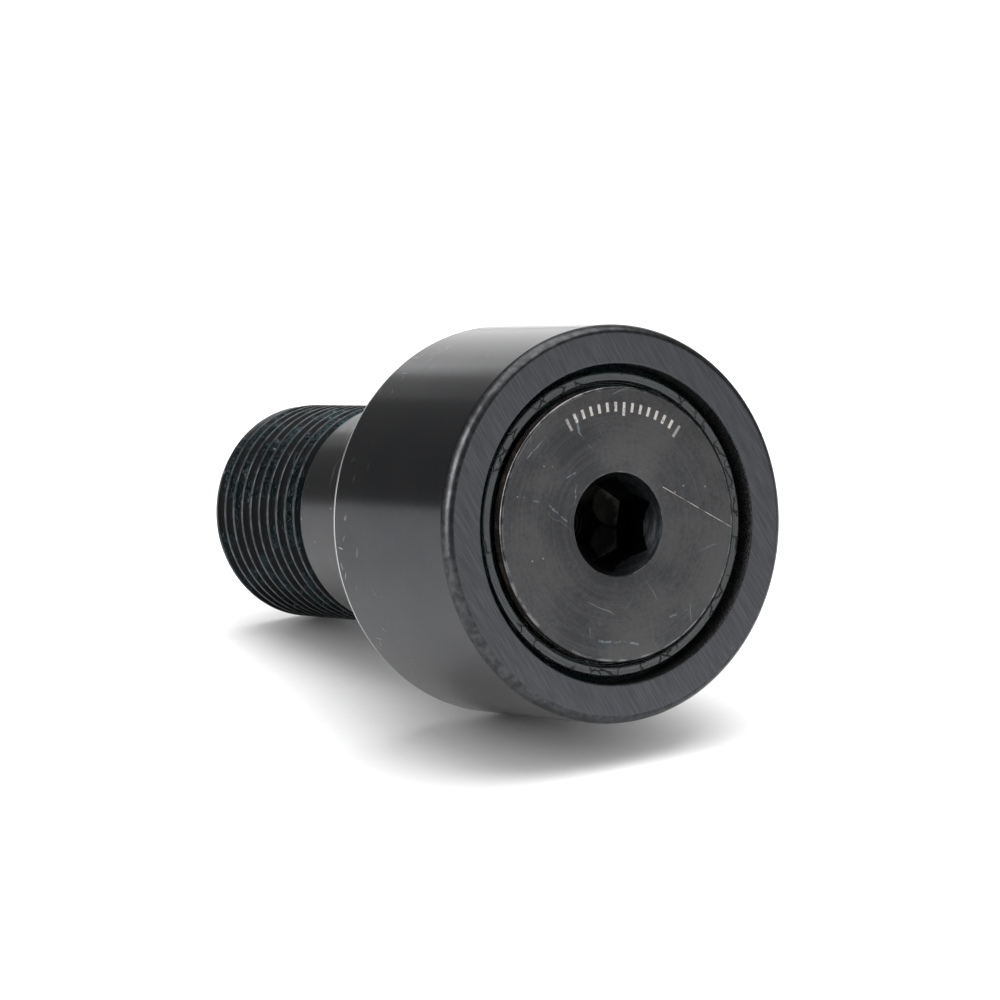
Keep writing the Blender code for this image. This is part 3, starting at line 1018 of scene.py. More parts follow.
# %% Group: stroke
stroke, given, made = new_group(
    "stroke",
    {"Place": "vector", "Start": "vector", "End": "vector", "Width": "value", "Wander": "value"},
    {"Mask": "value"},
)
drift_noise = put(
    stroke, "ShaderNodeTexNoise", {"Vector": given["Place"], "Scale": 420.0, "Detail": 3.0, "Roughness": 0.6}
).outputs["Color"]
drift = put(
    stroke,
    "ShaderNodeVectorMath",
    {0: vector_calc(stroke, "SUBTRACT", drift_noise, (0.5, 0.5, 0.5)), "Scale": given["Wander"]},
    operation="SCALE",
).outputs["Vector"]
wandered = vector_calc(stroke, "ADD", given["Place"], drift)
reach = vector_calc(stroke, "SUBTRACT", wandered, given["Start"])
whole = vector_calc(stroke, "SUBTRACT", given["End"], given["Start"])
dot_reach = put(stroke, "ShaderNodeVectorMath", {0: reach, 1: whole}, operation="DOT_PRODUCT").outputs["Value"]
dot_whole = put(stroke, "ShaderNodeVectorMath", {0: whole, 1: whole}, operation="DOT_PRODUCT").outputs["Value"]
share = put(stroke, "ShaderNodeMath", {0: dot_reach, 1: dot_whole}, operation="DIVIDE", use_clamp=True).outputs[0]
nearest = put(stroke, "ShaderNodeVectorMath", {0: whole, "Scale": share}, operation="SCALE").outputs["Vector"]
gap = put(
    stroke, "ShaderNodeVectorMath", {0: vector_calc(stroke, "SUBTRACT", reach, nearest)}, operation="LENGTH"
).outputs["Value"]
mask = soft_step(stroke, calc(stroke, "DIVIDE", gap, given["Width"]), 1.0, 0.3)
stroke.links.new(mask, made["Mask"])
print("group:", stroke.name)

# %% [markdown]
# **Oxide tone** is the slow change of shade in a blackened surface: a little bluer here, a little browner there.

# %% Group: oxide tone
oxide_tone, given, made = new_group(
    "oxide tone", {"Place": "vector", "Cool": "colour", "Warm": "colour"}, {"Colour": "colour", "Cloud": "value"}
)
broad = noise(oxide_tone, given["Place"], 160.0, detail=3.0)
fine = noise(oxide_tone, given["Place"], 2600.0, detail=2.0)
mixed = calc(oxide_tone, "ADD", times(oxide_tone, broad, 0.75), times(oxide_tone, fine, 0.25))
spread = soft_step(oxide_tone, mixed, 0.35, 0.65)
oxide_tone.links.new(blend_colours(oxide_tone, spread, given["Cool"], given["Warm"]), made["Colour"])
oxide_tone.links.new(spread, made["Cloud"])
print("group:", oxide_tone.name)

# %% [markdown]
# ## A finish from its parts
# `new_finish` starts a material with a Principled shader whose steady numbers are set on its own sockets, and
# `own_place` gives the piece's own coordinates. `relief` stacks bumps, each with its real depth in metres.

# %% Helper: start a material
def new_finish(name, **steady):
    """A material with a Principled shader. Steady values go straight on its sockets."""
    material = bpy.data.materials.new(name)
    material.use_nodes = True
    tree = material.node_tree
    shader = tree.nodes["Principled BSDF"]
    for label, value in steady.items():
        shader.inputs[label.replace("_", " ")].default_value = value
    return material, tree, shader


def own_place(tree):
    """The point's place in the piece's own frame, which is the frame of the whole model."""
    return put(tree, "ShaderNodeTexCoord").outputs["Object"]


def relief(tree, height, depth, below=None):
    """A bump of this real depth on top of the one below."""
    inputs = {"Height": height, "Strength": 1.0, "Distance": depth}
    if below is not None:
        inputs["Normal"] = below
    return put(tree, "ShaderNodeBump", inputs).outputs["Normal"]


def wire(tree, shader, **links):
    """Links values to the shader's sockets."""
    for label, value in links.items():
        tree.links.new(value, shader.inputs[label.replace("_", " ")])


def dress(material, *pieces):
    """Gives pieces the material as their only one."""
    for piece in pieces:
        piece.data.materials.clear()
        piece.data.materials.append(material)
    print(material.name, "on", len(pieces), "piece(s)")


# %% [markdown]
# ## Ground and blackened steel: the outer ring
# Black oxide is a very thin skin on the steel. It still mirrors, but far less than bare metal does,
# so the shader is metallic with a dark base colour rather than a dark plastic. The running surface has the round
# marks of its grinding, the faces straight ones all in one direction, and the counterbore is a coarser, grainy
# turned wall. A mask for each zone comes from the radius and the place along the axis.

# %% Finish: ring steel
ring_steel, tree, shader = new_finish("ring_oxide_steel", Metallic=1.0)
place = own_place(tree)
where = use_group(tree, round_place, Place=place)
front_zone = soft_step(tree, where["Along"], FACE_X - 0.03 * MM, FACE_X - 0.005 * MM)
back_zone = soft_step(tree, where["Along"], RING_BACK_X + 0.03 * MM, RING_BACK_X + 0.005 * MM)
face_zone = calc(tree, "MAXIMUM", front_zone, back_zone)
bore_zone = soft_step(tree, where["Radius"], COUNTERBORE_RADIUS + 0.05 * MM, COUNTERBORE_RADIUS + 0.01 * MM)
running_zone = soft_step(tree, where["Radius"], RING_RADIUS - 0.03 * MM, RING_RADIUS - 0.01 * MM)
corner_zone = times(
    tree,
    inverse(tree, calc(tree, "MAXIMUM", face_zone, running_zone)),
    soft_step(tree, where["Radius"], RING_RADIUS - 2.55 * MM, RING_RADIUS - 1.55 * MM),
)

FACE_LINE_TURN = math.radians(-27)
turned = put(
    tree, "ShaderNodeMapping", {"Vector": place, "Rotation": (FACE_LINE_TURN, 0, 0)}, vector_type="POINT"
).outputs[0]
turned_parts = put(tree, "ShaderNodeSeparateXYZ", {"Vector": turned}).outputs
face_place = put(tree, "ShaderNodeCombineXYZ", {"X": turned_parts["Y"], "Y": turned_parts["Z"]}).outputs[0]
face_lines = use_group(tree, tool_lines, Place=face_place, Fineness=5200.0, Drift=240.0)["Lines"]
round_lines = use_group(tree, tool_lines, Place=place, Fineness=9000.0, Drift=160.0)["Lines"]
grain = noise(tree, place, 9000.0, detail=3.0, roughness=0.7)
tone = use_group(tree, oxide_tone, Place=place, Cool=(0.031, 0.033, 0.037, 1), Warm=(0.038, 0.039, 0.042, 1))

lines = blend_values(tree, face_zone, round_lines, face_lines)
hair = use_group(tree, scratches, Place=place, Per_Metre=160.0, Width=0.004, Share=0.16)["Mask"]
nick = use_group(tree, specks, Place=place, Per_Metre=620.0, Size=0.085, Share=0.10)["Mask"]
rear_share = soft_step(tree, where["Along"], 11 * MM, 2 * MM)
rub = use_group(tree, scratches, Place=place, Per_Metre=850.0, Width=0.045, Share=0.50)["Mask"]
rub_patch = soft_step(tree, noise(tree, place, 240.0, detail=2.0), 0.42, 0.52)
rub = times(tree, times(tree, rub, rub_patch), times(tree, rear_share, running_zone))

ring_colour = tint(tree, tone["Colour"], hair, 0.35, (0.24, 0.25, 0.26, 1))
ring_colour = tint(tree, ring_colour, rub, 0.8, (0.42, 0.38, 0.32, 1))
ring_colour = blend_colours(tree, nick, ring_colour, (0.40, 0.33, 0.25, 1))
# The counterbore wall is coloured darker than the rest of the ring, with light grains.
bore_grit = soft_step(tree, grain, 0.51, 0.63)
bore_wall_colour = blend_colours(tree, bore_grit, (0.016, 0.017, 0.018, 1), (0.200, 0.200, 0.195, 1))
ring_colour = blend_colours(tree, bore_zone, ring_colour, bore_wall_colour)
face_light = times(tree, soft_step(tree, face_lines, 0.36, 0.68), 0.55)
face_colour = blend_colours(tree, face_light, (0.064, 0.066, 0.073, 1), (0.112, 0.116, 0.127, 1))
ring_colour = tint(tree, ring_colour, face_zone, 0.92, face_colour)
edge_shine = soft_step(tree, noise(tree, place, 1300.0, detail=3.0, roughness=0.55), 0.34, 0.68)
corner_colour = blend_colours(tree, edge_shine, (0.034, 0.035, 0.037, 1), (0.062, 0.064, 0.066, 1))
ring_colour = blend_colours(tree, corner_zone, ring_colour, corner_colour)
# A bright line painted along the rear rim, where its corner round meets the running surface: a painted highlight for
# what that edge mirrors, and worn bare metal there too.
rear_edge = RING_BACK_X + CORNER_X
REAR_RIM_LINE_RADIUS = 18.7 * MM
rear_rim_highlight_and_wear = band(tree, where["Along"], rear_edge - 0.09 * MM, rear_edge + 0.02 * MM, 0.02 * MM)
near_rim = soft_step(tree, where["Radius"], REAR_RIM_LINE_RADIUS - 0.1 * MM, REAR_RIM_LINE_RADIUS + 0.1 * MM)
rear_rim_highlight_and_wear = times(tree, rear_rim_highlight_and_wear, near_rim)
ring_colour = tint(tree, ring_colour, rear_rim_highlight_and_wear, 0.85, (0.70, 0.70, 0.70, 1))

running_rough = vary(tree, 0.09, round_lines, 0.13)
face_rough = vary(tree, 0.22, face_lines, 0.28)
corner_rough = vary(tree, 0.20, grain, 0.26)
steel_rough = blend_values(tree, running_zone, corner_rough, running_rough)
steel_rough = blend_values(tree, face_zone, steel_rough, face_rough)
steel_rough = blend_values(tree, bore_zone, steel_rough, 0.50)

line_relief = relief(tree, lines, 0.0011 * MM)
grain_share = calc(tree, "ADD", times(tree, corner_zone, 0.08), times(tree, bore_zone, 7.0))
grain_height = times(tree, grain, calc(tree, "ADD", 0.08, grain_share))
grain_relief = relief(tree, grain_height, 0.010 * MM, line_relief)
wire(tree, shader, Base_Color=ring_colour, Roughness=steel_rough, Normal=grain_relief)
dress(ring_steel, roller_ring)

# %% [markdown]
# ## Turned and blackened steel: the stud
# The flange's face was turned, so its marks are rings, softer and more matt than ground steel. It carries an
# etched row, which is plain graduation ticks here, a long fine scratch, and some dried oil smears. The thread is
# darker, with rubbed crests and old grease in its roots. Its end face was turned, as the flange's face was.

# %% Finish: stud steel, the zones and marks
stud_steel, tree, shader = new_finish("stud_oxide_steel", Metallic=1.0)
place = own_place(tree)
where = use_group(tree, round_place, Place=place)
face_zone = soft_step(tree, where["Along"], FACE_X - 0.04 * MM, FACE_X - 0.01 * MM)
thread_zone = soft_step(tree, where["Along"], THREAD_START_X + 0.1 * MM, THREAD_START_X - 0.1 * MM)
socket_zone = times(
    tree,
    soft_step(tree, where["Radius"], MOUTH_RADIUS + 0.02 * MM, MOUTH_RADIUS - 0.05 * MM),
    soft_step(tree, where["Along"], FACE_X - 12 * MM, FACE_X - 11 * MM),
)
end_zone = soft_step(tree, where["Along"], END_X + 0.08 * MM, END_X + 0.03 * MM)
flat_zone = calc(tree, "MAXIMUM", face_zone, end_zone)
turned_rings = use_group(tree, tool_lines, Place=where["Rings"], Fineness=5200.0, Drift=120.0)["Lines"]
shank_lines = use_group(tree, tool_lines, Place=place, Fineness=9000.0, Drift=110.0)["Lines"]
grain = noise(tree, place, 7000.0, detail=3.0, roughness=0.65)

# %% Finish: stud steel, the etched row of ticks
TICK_FIRST = math.radians(46)
TICK_LAST = math.radians(113)
TICK_COUNT = 15
TICK_WIDTH = 0.30 * MM
TICK_INNER = 10.75 * MM
TICK_OUTER = 11.65 * MM
TICK_LONG = 10.35 * MM
tick_turns = times(
    tree, calc(tree, "SUBTRACT", where["Angle"], TICK_FIRST), (TICK_COUNT - 1) / (TICK_LAST - TICK_FIRST)
)
tick_number = calc(tree, "ROUND", tick_turns)
tick_off = calc(tree, "ABSOLUTE", calc(tree, "SUBTRACT", tick_turns, tick_number))
tick_gap = times(
    tree, times(tree, tick_off, (TICK_LAST - TICK_FIRST) / (TICK_COUNT - 1)), where["Radius"]
)
tick_body = soft_step(tree, tick_gap, TICK_WIDTH / 2 + 0.03 * MM, TICK_WIDTH / 2 - 0.03 * MM)
tick_in_row = band(tree, tick_number, 0.0, TICK_COUNT - 1.0, 0.25)
fifth = calc(tree, "PINGPONG", tick_number, 3.5)
long_tick = calc(tree, "LESS_THAN", calc(tree, "ABSOLUTE", fifth), 0.4)
tick_bottom = blend_values(tree, long_tick, TICK_INNER, TICK_LONG)
above = soft_step(
    tree, calc(tree, "SUBTRACT", where["Radius"], tick_bottom), -0.03 * MM, 0.03 * MM
)
below = soft_step(tree, where["Radius"], TICK_OUTER + 0.03 * MM, TICK_OUTER - 0.03 * MM)
ticks = times(tree, times(tree, tick_body, tick_in_row), times(tree, above, below))
patchy = soft_step(tree, noise(tree, place, 5200.0, detail=2.0), 0.18, 0.52)
ticks = times(tree, times(tree, ticks, patchy), face_zone)

# %% Finish: stud steel, scratches, smears and grease
def on_face(y, z):
    """A point on the flange's face, from its place across it in millimetres."""
    return (FACE_X, y * MM, z * MM)


scratch_ends = {"Start": on_face(5.47, 2.83), "End": on_face(12.96, -2.21)}
long_scratch = use_group(tree, stroke, Place=place, **scratch_ends, Width=0.042 * MM, Wander=0.04 * MM)["Mask"]
scratch_fade = soft_step(tree, noise(tree, place, 900.0, detail=2.0), 0.36, 0.60)
long_scratch = times(tree, long_scratch, vary(tree, 0.15, scratch_fade, 0.85))
smear_ends = (
    (on_face(-3.39, 11.13), on_face(-3.3, 9.4), 0.16),
    (on_face(-3.3, 9.4), on_face(-2.06, 7.42), 0.13),
    (on_face(-7.67, 3.14), on_face(-5.58, 1.03), 0.13),
    (on_face(-5.20, 5.20), on_face(-4.20, 5.60), 0.12),
    (on_face(-4.3, 4.4), on_face(-4.55, 2.5), 0.10),
    (on_face(-10.2, 3.9), on_face(-8.4, 3.3), 0.10),
    (on_face(-9.2, 7.6), on_face(-6.8, 9.6), 0.12),
    (on_face(-3.6, -10.6), on_face(0.8, -11.6), 0.16),
    (on_face(4.6, -9.6), on_face(6.8, -9.2), 0.12),
)
smears = 0.0
for start, end, width in smear_ends:
    mark = use_group(tree, stroke, Place=place, Start=start, End=end, Width=width * MM, Wander=0.9 * MM)["Mask"]
    smears = calc(tree, "MAXIMUM", smears, mark)
streaky = soft_step(tree, noise(tree, place, 1500.0, detail=3.0, roughness=0.7), 0.38, 0.62)
smears = times(tree, smears, streaky)

scuffs = use_group(tree, scratches, Place=place, Per_Metre=240.0, Width=0.020, Share=0.55)["Mask"]
hairlines = use_group(tree, scratches, Place=place, Per_Metre=130.0, Width=0.006, Share=0.50)["Mask"]
dust = use_group(tree, specks, Place=place, Per_Metre=900.0, Size=0.085, Share=0.24)["Mask"]
scuff_patch = soft_step(tree, noise(tree, place, 300.0, detail=2.0), 0.42, 0.60)
scuffs = times(tree, scuffs, scuff_patch)

CREST_START = 11.09 * MM
CREST_FADE = 11.03 * MM
ROOT_START = 11.00 * MM
crest_zone = times(tree, thread_zone, soft_step(tree, where["Radius"], CREST_FADE, CREST_START))
root_zone = times(tree, thread_zone, soft_step(tree, where["Radius"], CREST_START, ROOT_START))
root_zone = times(tree, root_zone, soft_step(tree, where["Along"], END_X + 0.9 * MM, END_X + 1.3 * MM))
grease_patch = soft_step(tree, noise(tree, place, 340.0, detail=4.0, roughness=0.65), 0.48, 0.60)
thread_grease = times(tree, root_zone, grease_patch)
# Light blue-grey blotches in the grease are painted highlights, standing in for its glints.
grease_glint_paint = soft_step(tree, noise(tree, place, 1700.0, detail=4.0, roughness=0.75), 0.58, 0.74)
grease_glint_paint = times(tree, times(tree, grease_glint_paint, thread_grease), 0.45)
rim_zone = times(
    tree,
    band(tree, where["Radius"], FLANGE_RADIUS - 0.34 * MM, FLANGE_RADIUS - 0.08 * MM, 0.05 * MM),
    soft_step(tree, where["Along"], FACE_X - 0.5 * MM, FACE_X - 0.3 * MM),
)
rim_wear = times(tree, rim_zone, soft_step(tree, noise(tree, place, 900.0, detail=3.0), 0.42, 0.62))

# %% Finish: stud steel, colour, roughness and relief together
tone = use_group(tree, oxide_tone, Place=place, Cool=(0.044, 0.045, 0.048, 1), Warm=(0.050, 0.050, 0.052, 1))
face_tone = use_group(tree, oxide_tone, Place=place, Cool=(0.046, 0.047, 0.049, 1), Warm=(0.082, 0.082, 0.084, 1))
face_shade = times(tree, soft_step(tree, turned_rings, 0.40, 0.66), 0.30)
face_colour = blend_colours(tree, face_shade, face_tone["Colour"], (0.100, 0.100, 0.103, 1))
stud_colour = blend_colours(tree, flat_zone, tone["Colour"], face_colour)
stud_colour = tint(tree, stud_colour, hairlines, 0.30, (0.22, 0.22, 0.22, 1))
stud_colour = tint(tree, stud_colour, scuffs, 0.45, (0.24, 0.26, 0.28, 1))
stud_colour = tint(tree, stud_colour, rim_wear, 0.50, (0.22, 0.22, 0.22, 1))
stud_colour = tint(tree, stud_colour, smears, 0.60, (0.24, 0.30, 0.34, 1))
stud_colour = tint(tree, stud_colour, long_scratch, 0.85, (0.62, 0.60, 0.55, 1))
stud_colour = blend_colours(tree, dust, stud_colour, (0.34, 0.30, 0.25, 1))
stud_colour = tint(tree, stud_colour, ticks, 0.92, (0.66, 0.63, 0.59, 1))
crest_wear = soft_step(tree, noise(tree, place, 1100.0, detail=3.0, roughness=0.6), 0.38, 0.60)
crest_colour = blend_colours(tree, crest_wear, (0.020, 0.021, 0.022, 1), (0.050, 0.051, 0.053, 1))
stud_colour = blend_colours(tree, crest_zone, stud_colour, crest_colour)
stud_colour = blend_colours(tree, root_zone, stud_colour, (0.010, 0.011, 0.012, 1))
stud_colour = blend_colours(tree, thread_grease, stud_colour, (0.012, 0.019, 0.021, 1))
stud_colour = blend_colours(tree, grease_glint_paint, stud_colour, (0.22, 0.26, 0.28, 1))
# The socket is coloured far darker than the stud: painted shade in the deep recess, with lighter drill rings.
cone_rings = use_group(tree, tool_lines, Place=where["Rings"], Fineness=4200.0, Drift=420.0)["Lines"]
socket_shade_colour = blend_colours(
    tree, soft_step(tree, cone_rings, 0.44, 0.70), (0.006, 0.007, 0.008, 1), (0.018, 0.019, 0.020, 1)
)
stud_colour = blend_colours(tree, socket_zone, stud_colour, socket_shade_colour)
worn_patch = soft_step(tree, noise(tree, place, 800.0, detail=3.0), 0.46, 0.60)
# A light line painted round the rim of the socket's mouth: a painted highlight on that edge, and worn metal there
# too.
mouth_highlight_and_wear = times(
    tree,
    band(tree, where["Radius"], MOUTH_RADIUS - 0.01 * MM, MOUTH_RADIUS + 0.03 * MM, 0.02 * MM),
    soft_step(tree, where["Along"], FACE_X - 0.3 * MM, FACE_X - 0.1 * MM),
)
mouth_highlight_and_wear = times(tree, mouth_highlight_and_wear, worn_patch)
stud_colour = tint(tree, stud_colour, mouth_highlight_and_wear, 0.6, (0.26, 0.25, 0.23, 1))
side_zone = times(
    tree,
    band(tree, where["Along"], FACE_X - 0.95 * MM, FACE_X - 0.32 * MM, 0.20 * MM),
    soft_step(tree, where["Radius"], FLANGE_RADIUS - 0.12 * MM, FLANGE_RADIUS - 0.06 * MM),
)
stain = blend_colours(tree, worn_patch, (0.030, 0.024, 0.020, 1), (0.085, 0.066, 0.055, 1))
stud_colour = blend_colours(tree, side_zone, stud_colour, stain)

face_rough = vary(tree, 0.36, turned_rings, 0.12)
bar_rough = vary(tree, 0.16, shank_lines, 0.10)
stud_rough = blend_values(tree, flat_zone, bar_rough, face_rough)
stud_rough = blend_values(tree, crest_zone, stud_rough, 0.42)
stud_rough = blend_values(tree, root_zone, stud_rough, 0.46)
stud_rough = blend_values(tree, thread_grease, stud_rough, 0.22)
stud_rough = blend_values(tree, socket_zone, stud_rough, 0.42)
stud_rough = blend_values(tree, ticks, stud_rough, 0.55)
stud_rough = blend_values(tree, smears, stud_rough, 0.50)

steadiness = inverse(tree, times(tree, thread_grease, 0.6))
line_height = blend_values(tree, flat_zone, shank_lines, turned_rings)
line_relief = relief(tree, times(tree, line_height, steadiness), 0.0008 * MM)
greasy = noise(tree, place, 1600.0, detail=4.0, roughness=0.6)
grease_height = times(tree, greasy, thread_grease)
grease_relief = relief(tree, grease_height, 0.10 * MM, line_relief)
cut_marks = use_group(tree, tool_lines, Place=place, Fineness=5200.0, Drift=1500.0)["Lines"]
socket_height = times(tree, cut_marks, socket_zone)
socket_relief = relief(tree, socket_height, 0.030 * MM, grease_relief)
grain_relief = relief(tree, grain, 0.0014 * MM, socket_relief)
scratch_height = inverse(tree, calc(tree, "MAXIMUM", long_scratch, ticks))
final_relief = relief(tree, scratch_height, 0.004 * MM, grain_relief)
bare = inverse(tree, times(tree, side_zone, 0.6))
wire(tree, shader, Base_Color=stud_colour, Metallic=bare, Roughness=stud_rough, Normal=final_relief)
dress(stud_steel, stud_front)

# %% [markdown]
# ## The chips and the washer
# The chips are torn metal, coloured almost black as painted shade at the bottom of the socket, and a little
# browner and lighter at the turned-up rims. The washer is turned like the flange, without its marks.

# %% Finish: torn chips
chip_steel, tree, shader = new_finish("torn_chip_steel", Metallic=1.0)
place = own_place(tree)
where = use_group(tree, round_place, Place=place)
ripples = use_group(tree, tool_lines, Place=where["Rings"], Fineness=7000.0, Drift=900.0)["Lines"]
# Almost black: painted shade at the bottom of the socket.
tone = use_group(tree, oxide_tone, Place=place, Cool=(0.004, 0.004, 0.004, 1), Warm=(0.010, 0.010, 0.009, 1))
rugged = times(tree, calc(tree, "SUBTRACT", noise(tree, place, 1400.0, detail=3.0), 0.5), 1.6 * MM)
raised = soft_step(tree, calc(tree, "ADD", where["Radius"], rugged), 3.5 * MM, 4.5 * MM)
chip_colour = tint(tree, tone["Colour"], raised, 0.60, (0.060, 0.060, 0.056, 1))
chip_rough = vary(tree, 0.34, ripples, 0.20)
wire(tree, shader, Base_Color=chip_colour, Roughness=chip_rough, Normal=relief(tree, ripples, 0.02 * MM))
dress(chip_steel, broach_chips)

# %% Finish: washer steel
washer_steel, tree, shader = new_finish("washer_oxide_steel", Metallic=1.0)
place = own_place(tree)
where = use_group(tree, round_place, Place=place)
turned_rings = use_group(tree, tool_lines, Place=where["Rings"], Fineness=4200.0, Drift=130.0)["Lines"]
tone = use_group(tree, oxide_tone, Place=place, Cool=(0.074, 0.077, 0.083, 1), Warm=(0.090, 0.090, 0.092, 1))
hair = use_group(tree, scratches, Place=place, Per_Metre=260.0, Width=0.010, Share=0.40)["Mask"]
dust = use_group(tree, specks, Place=place, Per_Metre=420.0, Size=0.09, Share=0.08)["Mask"]
washer_colour = tint(tree, tone["Colour"], hair, 0.5, (0.28, 0.28, 0.28, 1))
washer_colour = blend_colours(tree, dust, washer_colour, (0.34, 0.30, 0.25, 1))
washer_rough = vary(tree, 0.30, turned_rings, 0.16)
wire(tree, shader, Base_Color=washer_colour, Roughness=washer_rough, Normal=relief(tree, turned_rings, 0.0018 * MM))
dress(washer_steel, back_washer)

# %% [markdown]
# ## Rubber and grease
# The rubber is black with a green cast, wet with oil, and wrinkled in the moulding direction. Grease is the same
# dark green but glossier. Both are plain dielectrics, so their metallic value stays at zero.

# %% Finish: seal rubber
seal_rubber, tree, shader = new_finish("oily_seal_rubber", Metallic=0.0, IOR=1.62)
place = own_place(tree)
where = use_group(tree, round_place, Place=place)
long_waves = use_group(tree, tool_lines, Place=where["Rings"], Fineness=2600.0, Drift=380.0)["Lines"]
warp = put(tree, "ShaderNodeTexNoise", {"Vector": place, "Scale": 900.0, "Detail": 2.0}).outputs["Color"]
warped = vector_calc(tree, "ADD", place, vector_calc(tree, "MULTIPLY", warp, (0.9 * MM, 0.9 * MM, 0.9 * MM)))
cracks = put(
    tree, "ShaderNodeTexVoronoi", {"Vector": warped, "Scale": 560.0}, feature="DISTANCE_TO_EDGE"
).outputs["Distance"]
crack_patch = soft_step(tree, noise(tree, place, 330.0, detail=1.0), 0.44, 0.52)
crack_mask = times(tree, soft_step(tree, cracks, 0.055, 0.015), crack_patch)
oil = soft_step(tree, noise(tree, place, 520.0, detail=3.0), 0.42, 0.58)
dust = use_group(tree, specks, Place=place, Per_Metre=900.0, Size=0.10, Share=0.10)["Mask"]
top_face = soft_step(tree, where["Along"], seal_high.x - 0.22 * MM, seal_high.x - 0.10 * MM)
rubber_colour = blend_colours(tree, oil, (0.012, 0.015, 0.016, 1), (0.006, 0.013, 0.014, 1))
inner_slope = times(
    tree,
    inverse(tree, top_face),
    soft_step(tree, where["Radius"], SEAL_BEAD_INNER + 0.25 * MM, SEAL_BEAD_INNER + 0.05 * MM),
)
# Painted sheen: the bead's top face is lightened a little and its inner slope painted teal, for what the wet rubber
# mirrors.
rubber_colour = tint(tree, rubber_colour, top_face, 0.6, (0.020, 0.023, 0.025, 1))
painted_slope_sheen = blend_colours(tree, long_waves, (0.020, 0.034, 0.036, 1), (0.060, 0.088, 0.090, 1))
rubber_colour = blend_colours(tree, inner_slope, rubber_colour, painted_slope_sheen)
rubber_colour = tint(tree, rubber_colour, dust, 0.6, (0.20, 0.20, 0.18, 1))
rubber_colour = blend_colours(tree, crack_mask, rubber_colour, (0.001, 0.002, 0.002, 1))
rubber_rough = blend_values(tree, crack_mask, blend_values(tree, oil, 0.30, 0.16), 0.8)
wave_relief = relief(tree, long_waves, 0.035 * MM)
crack_relief = relief(tree, inverse(tree, crack_mask), 0.09 * MM, wave_relief)
wire(tree, shader, Base_Color=rubber_colour, Roughness=rubber_rough, Normal=crack_relief)
dress(seal_rubber, front_seal_ring, back_seal_ring)

# %% Finish: old grease
old_grease, tree, shader = new_finish("old_grease", Metallic=0.0, IOR=1.47)
place = own_place(tree)
clots = noise(tree, place, 1400.0, detail=4.0, roughness=0.6)
grease_colour = blend_colours(tree, clots, (0.004, 0.011, 0.010, 1), (0.012, 0.022, 0.021, 1))
grease_rough = vary(tree, 0.07, clots, 0.22)
wire(tree, shader, Base_Color=grease_colour, Roughness=grease_rough, Normal=relief(tree, clots, 0.07 * MM))
dress(old_grease, front_grease)

# %% [markdown]
# ## Bright steel: needles and plugs
# The needles are ground and polished bearing steel. The plugs are softer steel with a dull, slightly blotchy
# skin.

# %% Finish: needle steel and plug steel
needle_steel, tree, shader = new_finish("polished_needle_steel", Metallic=1.0)
place = own_place(tree)
polish = use_group(tree, tool_lines, Place=place, Fineness=16000.0, Drift=900.0)["Lines"]
needle_colour = blend_colours(tree, polish, (0.50, 0.51, 0.53, 1), (0.62, 0.62, 0.63, 1))
needle_rough = vary(tree, 0.08, polish, 0.10)
wire(tree, shader, Base_Color=needle_colour, Roughness=needle_rough, Normal=relief(tree, polish, 0.0006 * MM))
dress(needle_steel, *fine_needles)

plug_steel, tree, shader = new_finish("dull_plug_steel", Metallic=1.0)
place = own_place(tree)
tone = use_group(tree, oxide_tone, Place=place, Cool=(0.20, 0.20, 0.21, 1), Warm=(0.34, 0.33, 0.31, 1))
pits = use_group(tree, specks, Place=place, Per_Metre=2400.0, Size=0.22, Share=0.25)["Mask"]
plug_colour = tint(tree, tone["Colour"], pits, 0.6, (0.07, 0.065, 0.06, 1))
plug_rough = vary(tree, 0.28, tone["Cloud"], 0.20)
plug_height = inverse(tree, pits)
wire(tree, shader, Base_Color=plug_colour, Roughness=plug_rough, Normal=relief(tree, plug_height, 0.02 * MM))
dress(plug_steel, end_drive_plug, cross_drive_plug)

# %% [markdown]
# ## The table
# The follower lies on a pale table. It rests on the back edge of the roller and on the end of its thread, so the
# table is tilted a little against the stud. The tilt is found by trying: at a steeper slope the stud's end would
# hang free, at a flatter one the roller would.

# %% Find the resting slope
def lowest(points, slope):
    """How far below the origin a set of (x, radius) points reaches, measured square to a table of this slope."""
    return min(x * math.sin(slope) - radius * math.cos(slope) for x, radius in points)


roller_points = ring_corner(RING_BACK_X, 1)
thread_points = [(END_X, STUD_RADIUS - END_CHAMFER), (END_X + END_CHAMFER, CREST_RADIUS)]
SLOPE_TRIES = 40
low_slope, high_slope = 0.0, math.radians(30)
for _ in range(SLOPE_TRIES):
    slope = (low_slope + high_slope) / 2
    if lowest(roller_points, slope) < lowest(thread_points, slope):
        low_slope = slope
    else:
        high_slope = slope
table_up = Vector((math.sin(slope), 0, math.cos(slope)))
table_level = lowest(roller_points, slope)
print(f"the table slopes by {math.degrees(slope):.2f} degrees, {-table_level / MM:.2f} mm below the axis")

# %% [markdown]
# ## The camera
# A long lens from a little above looks at the roller's face from the front left. Right, up and forward are kept
# as vectors, because the lights are placed by them too.

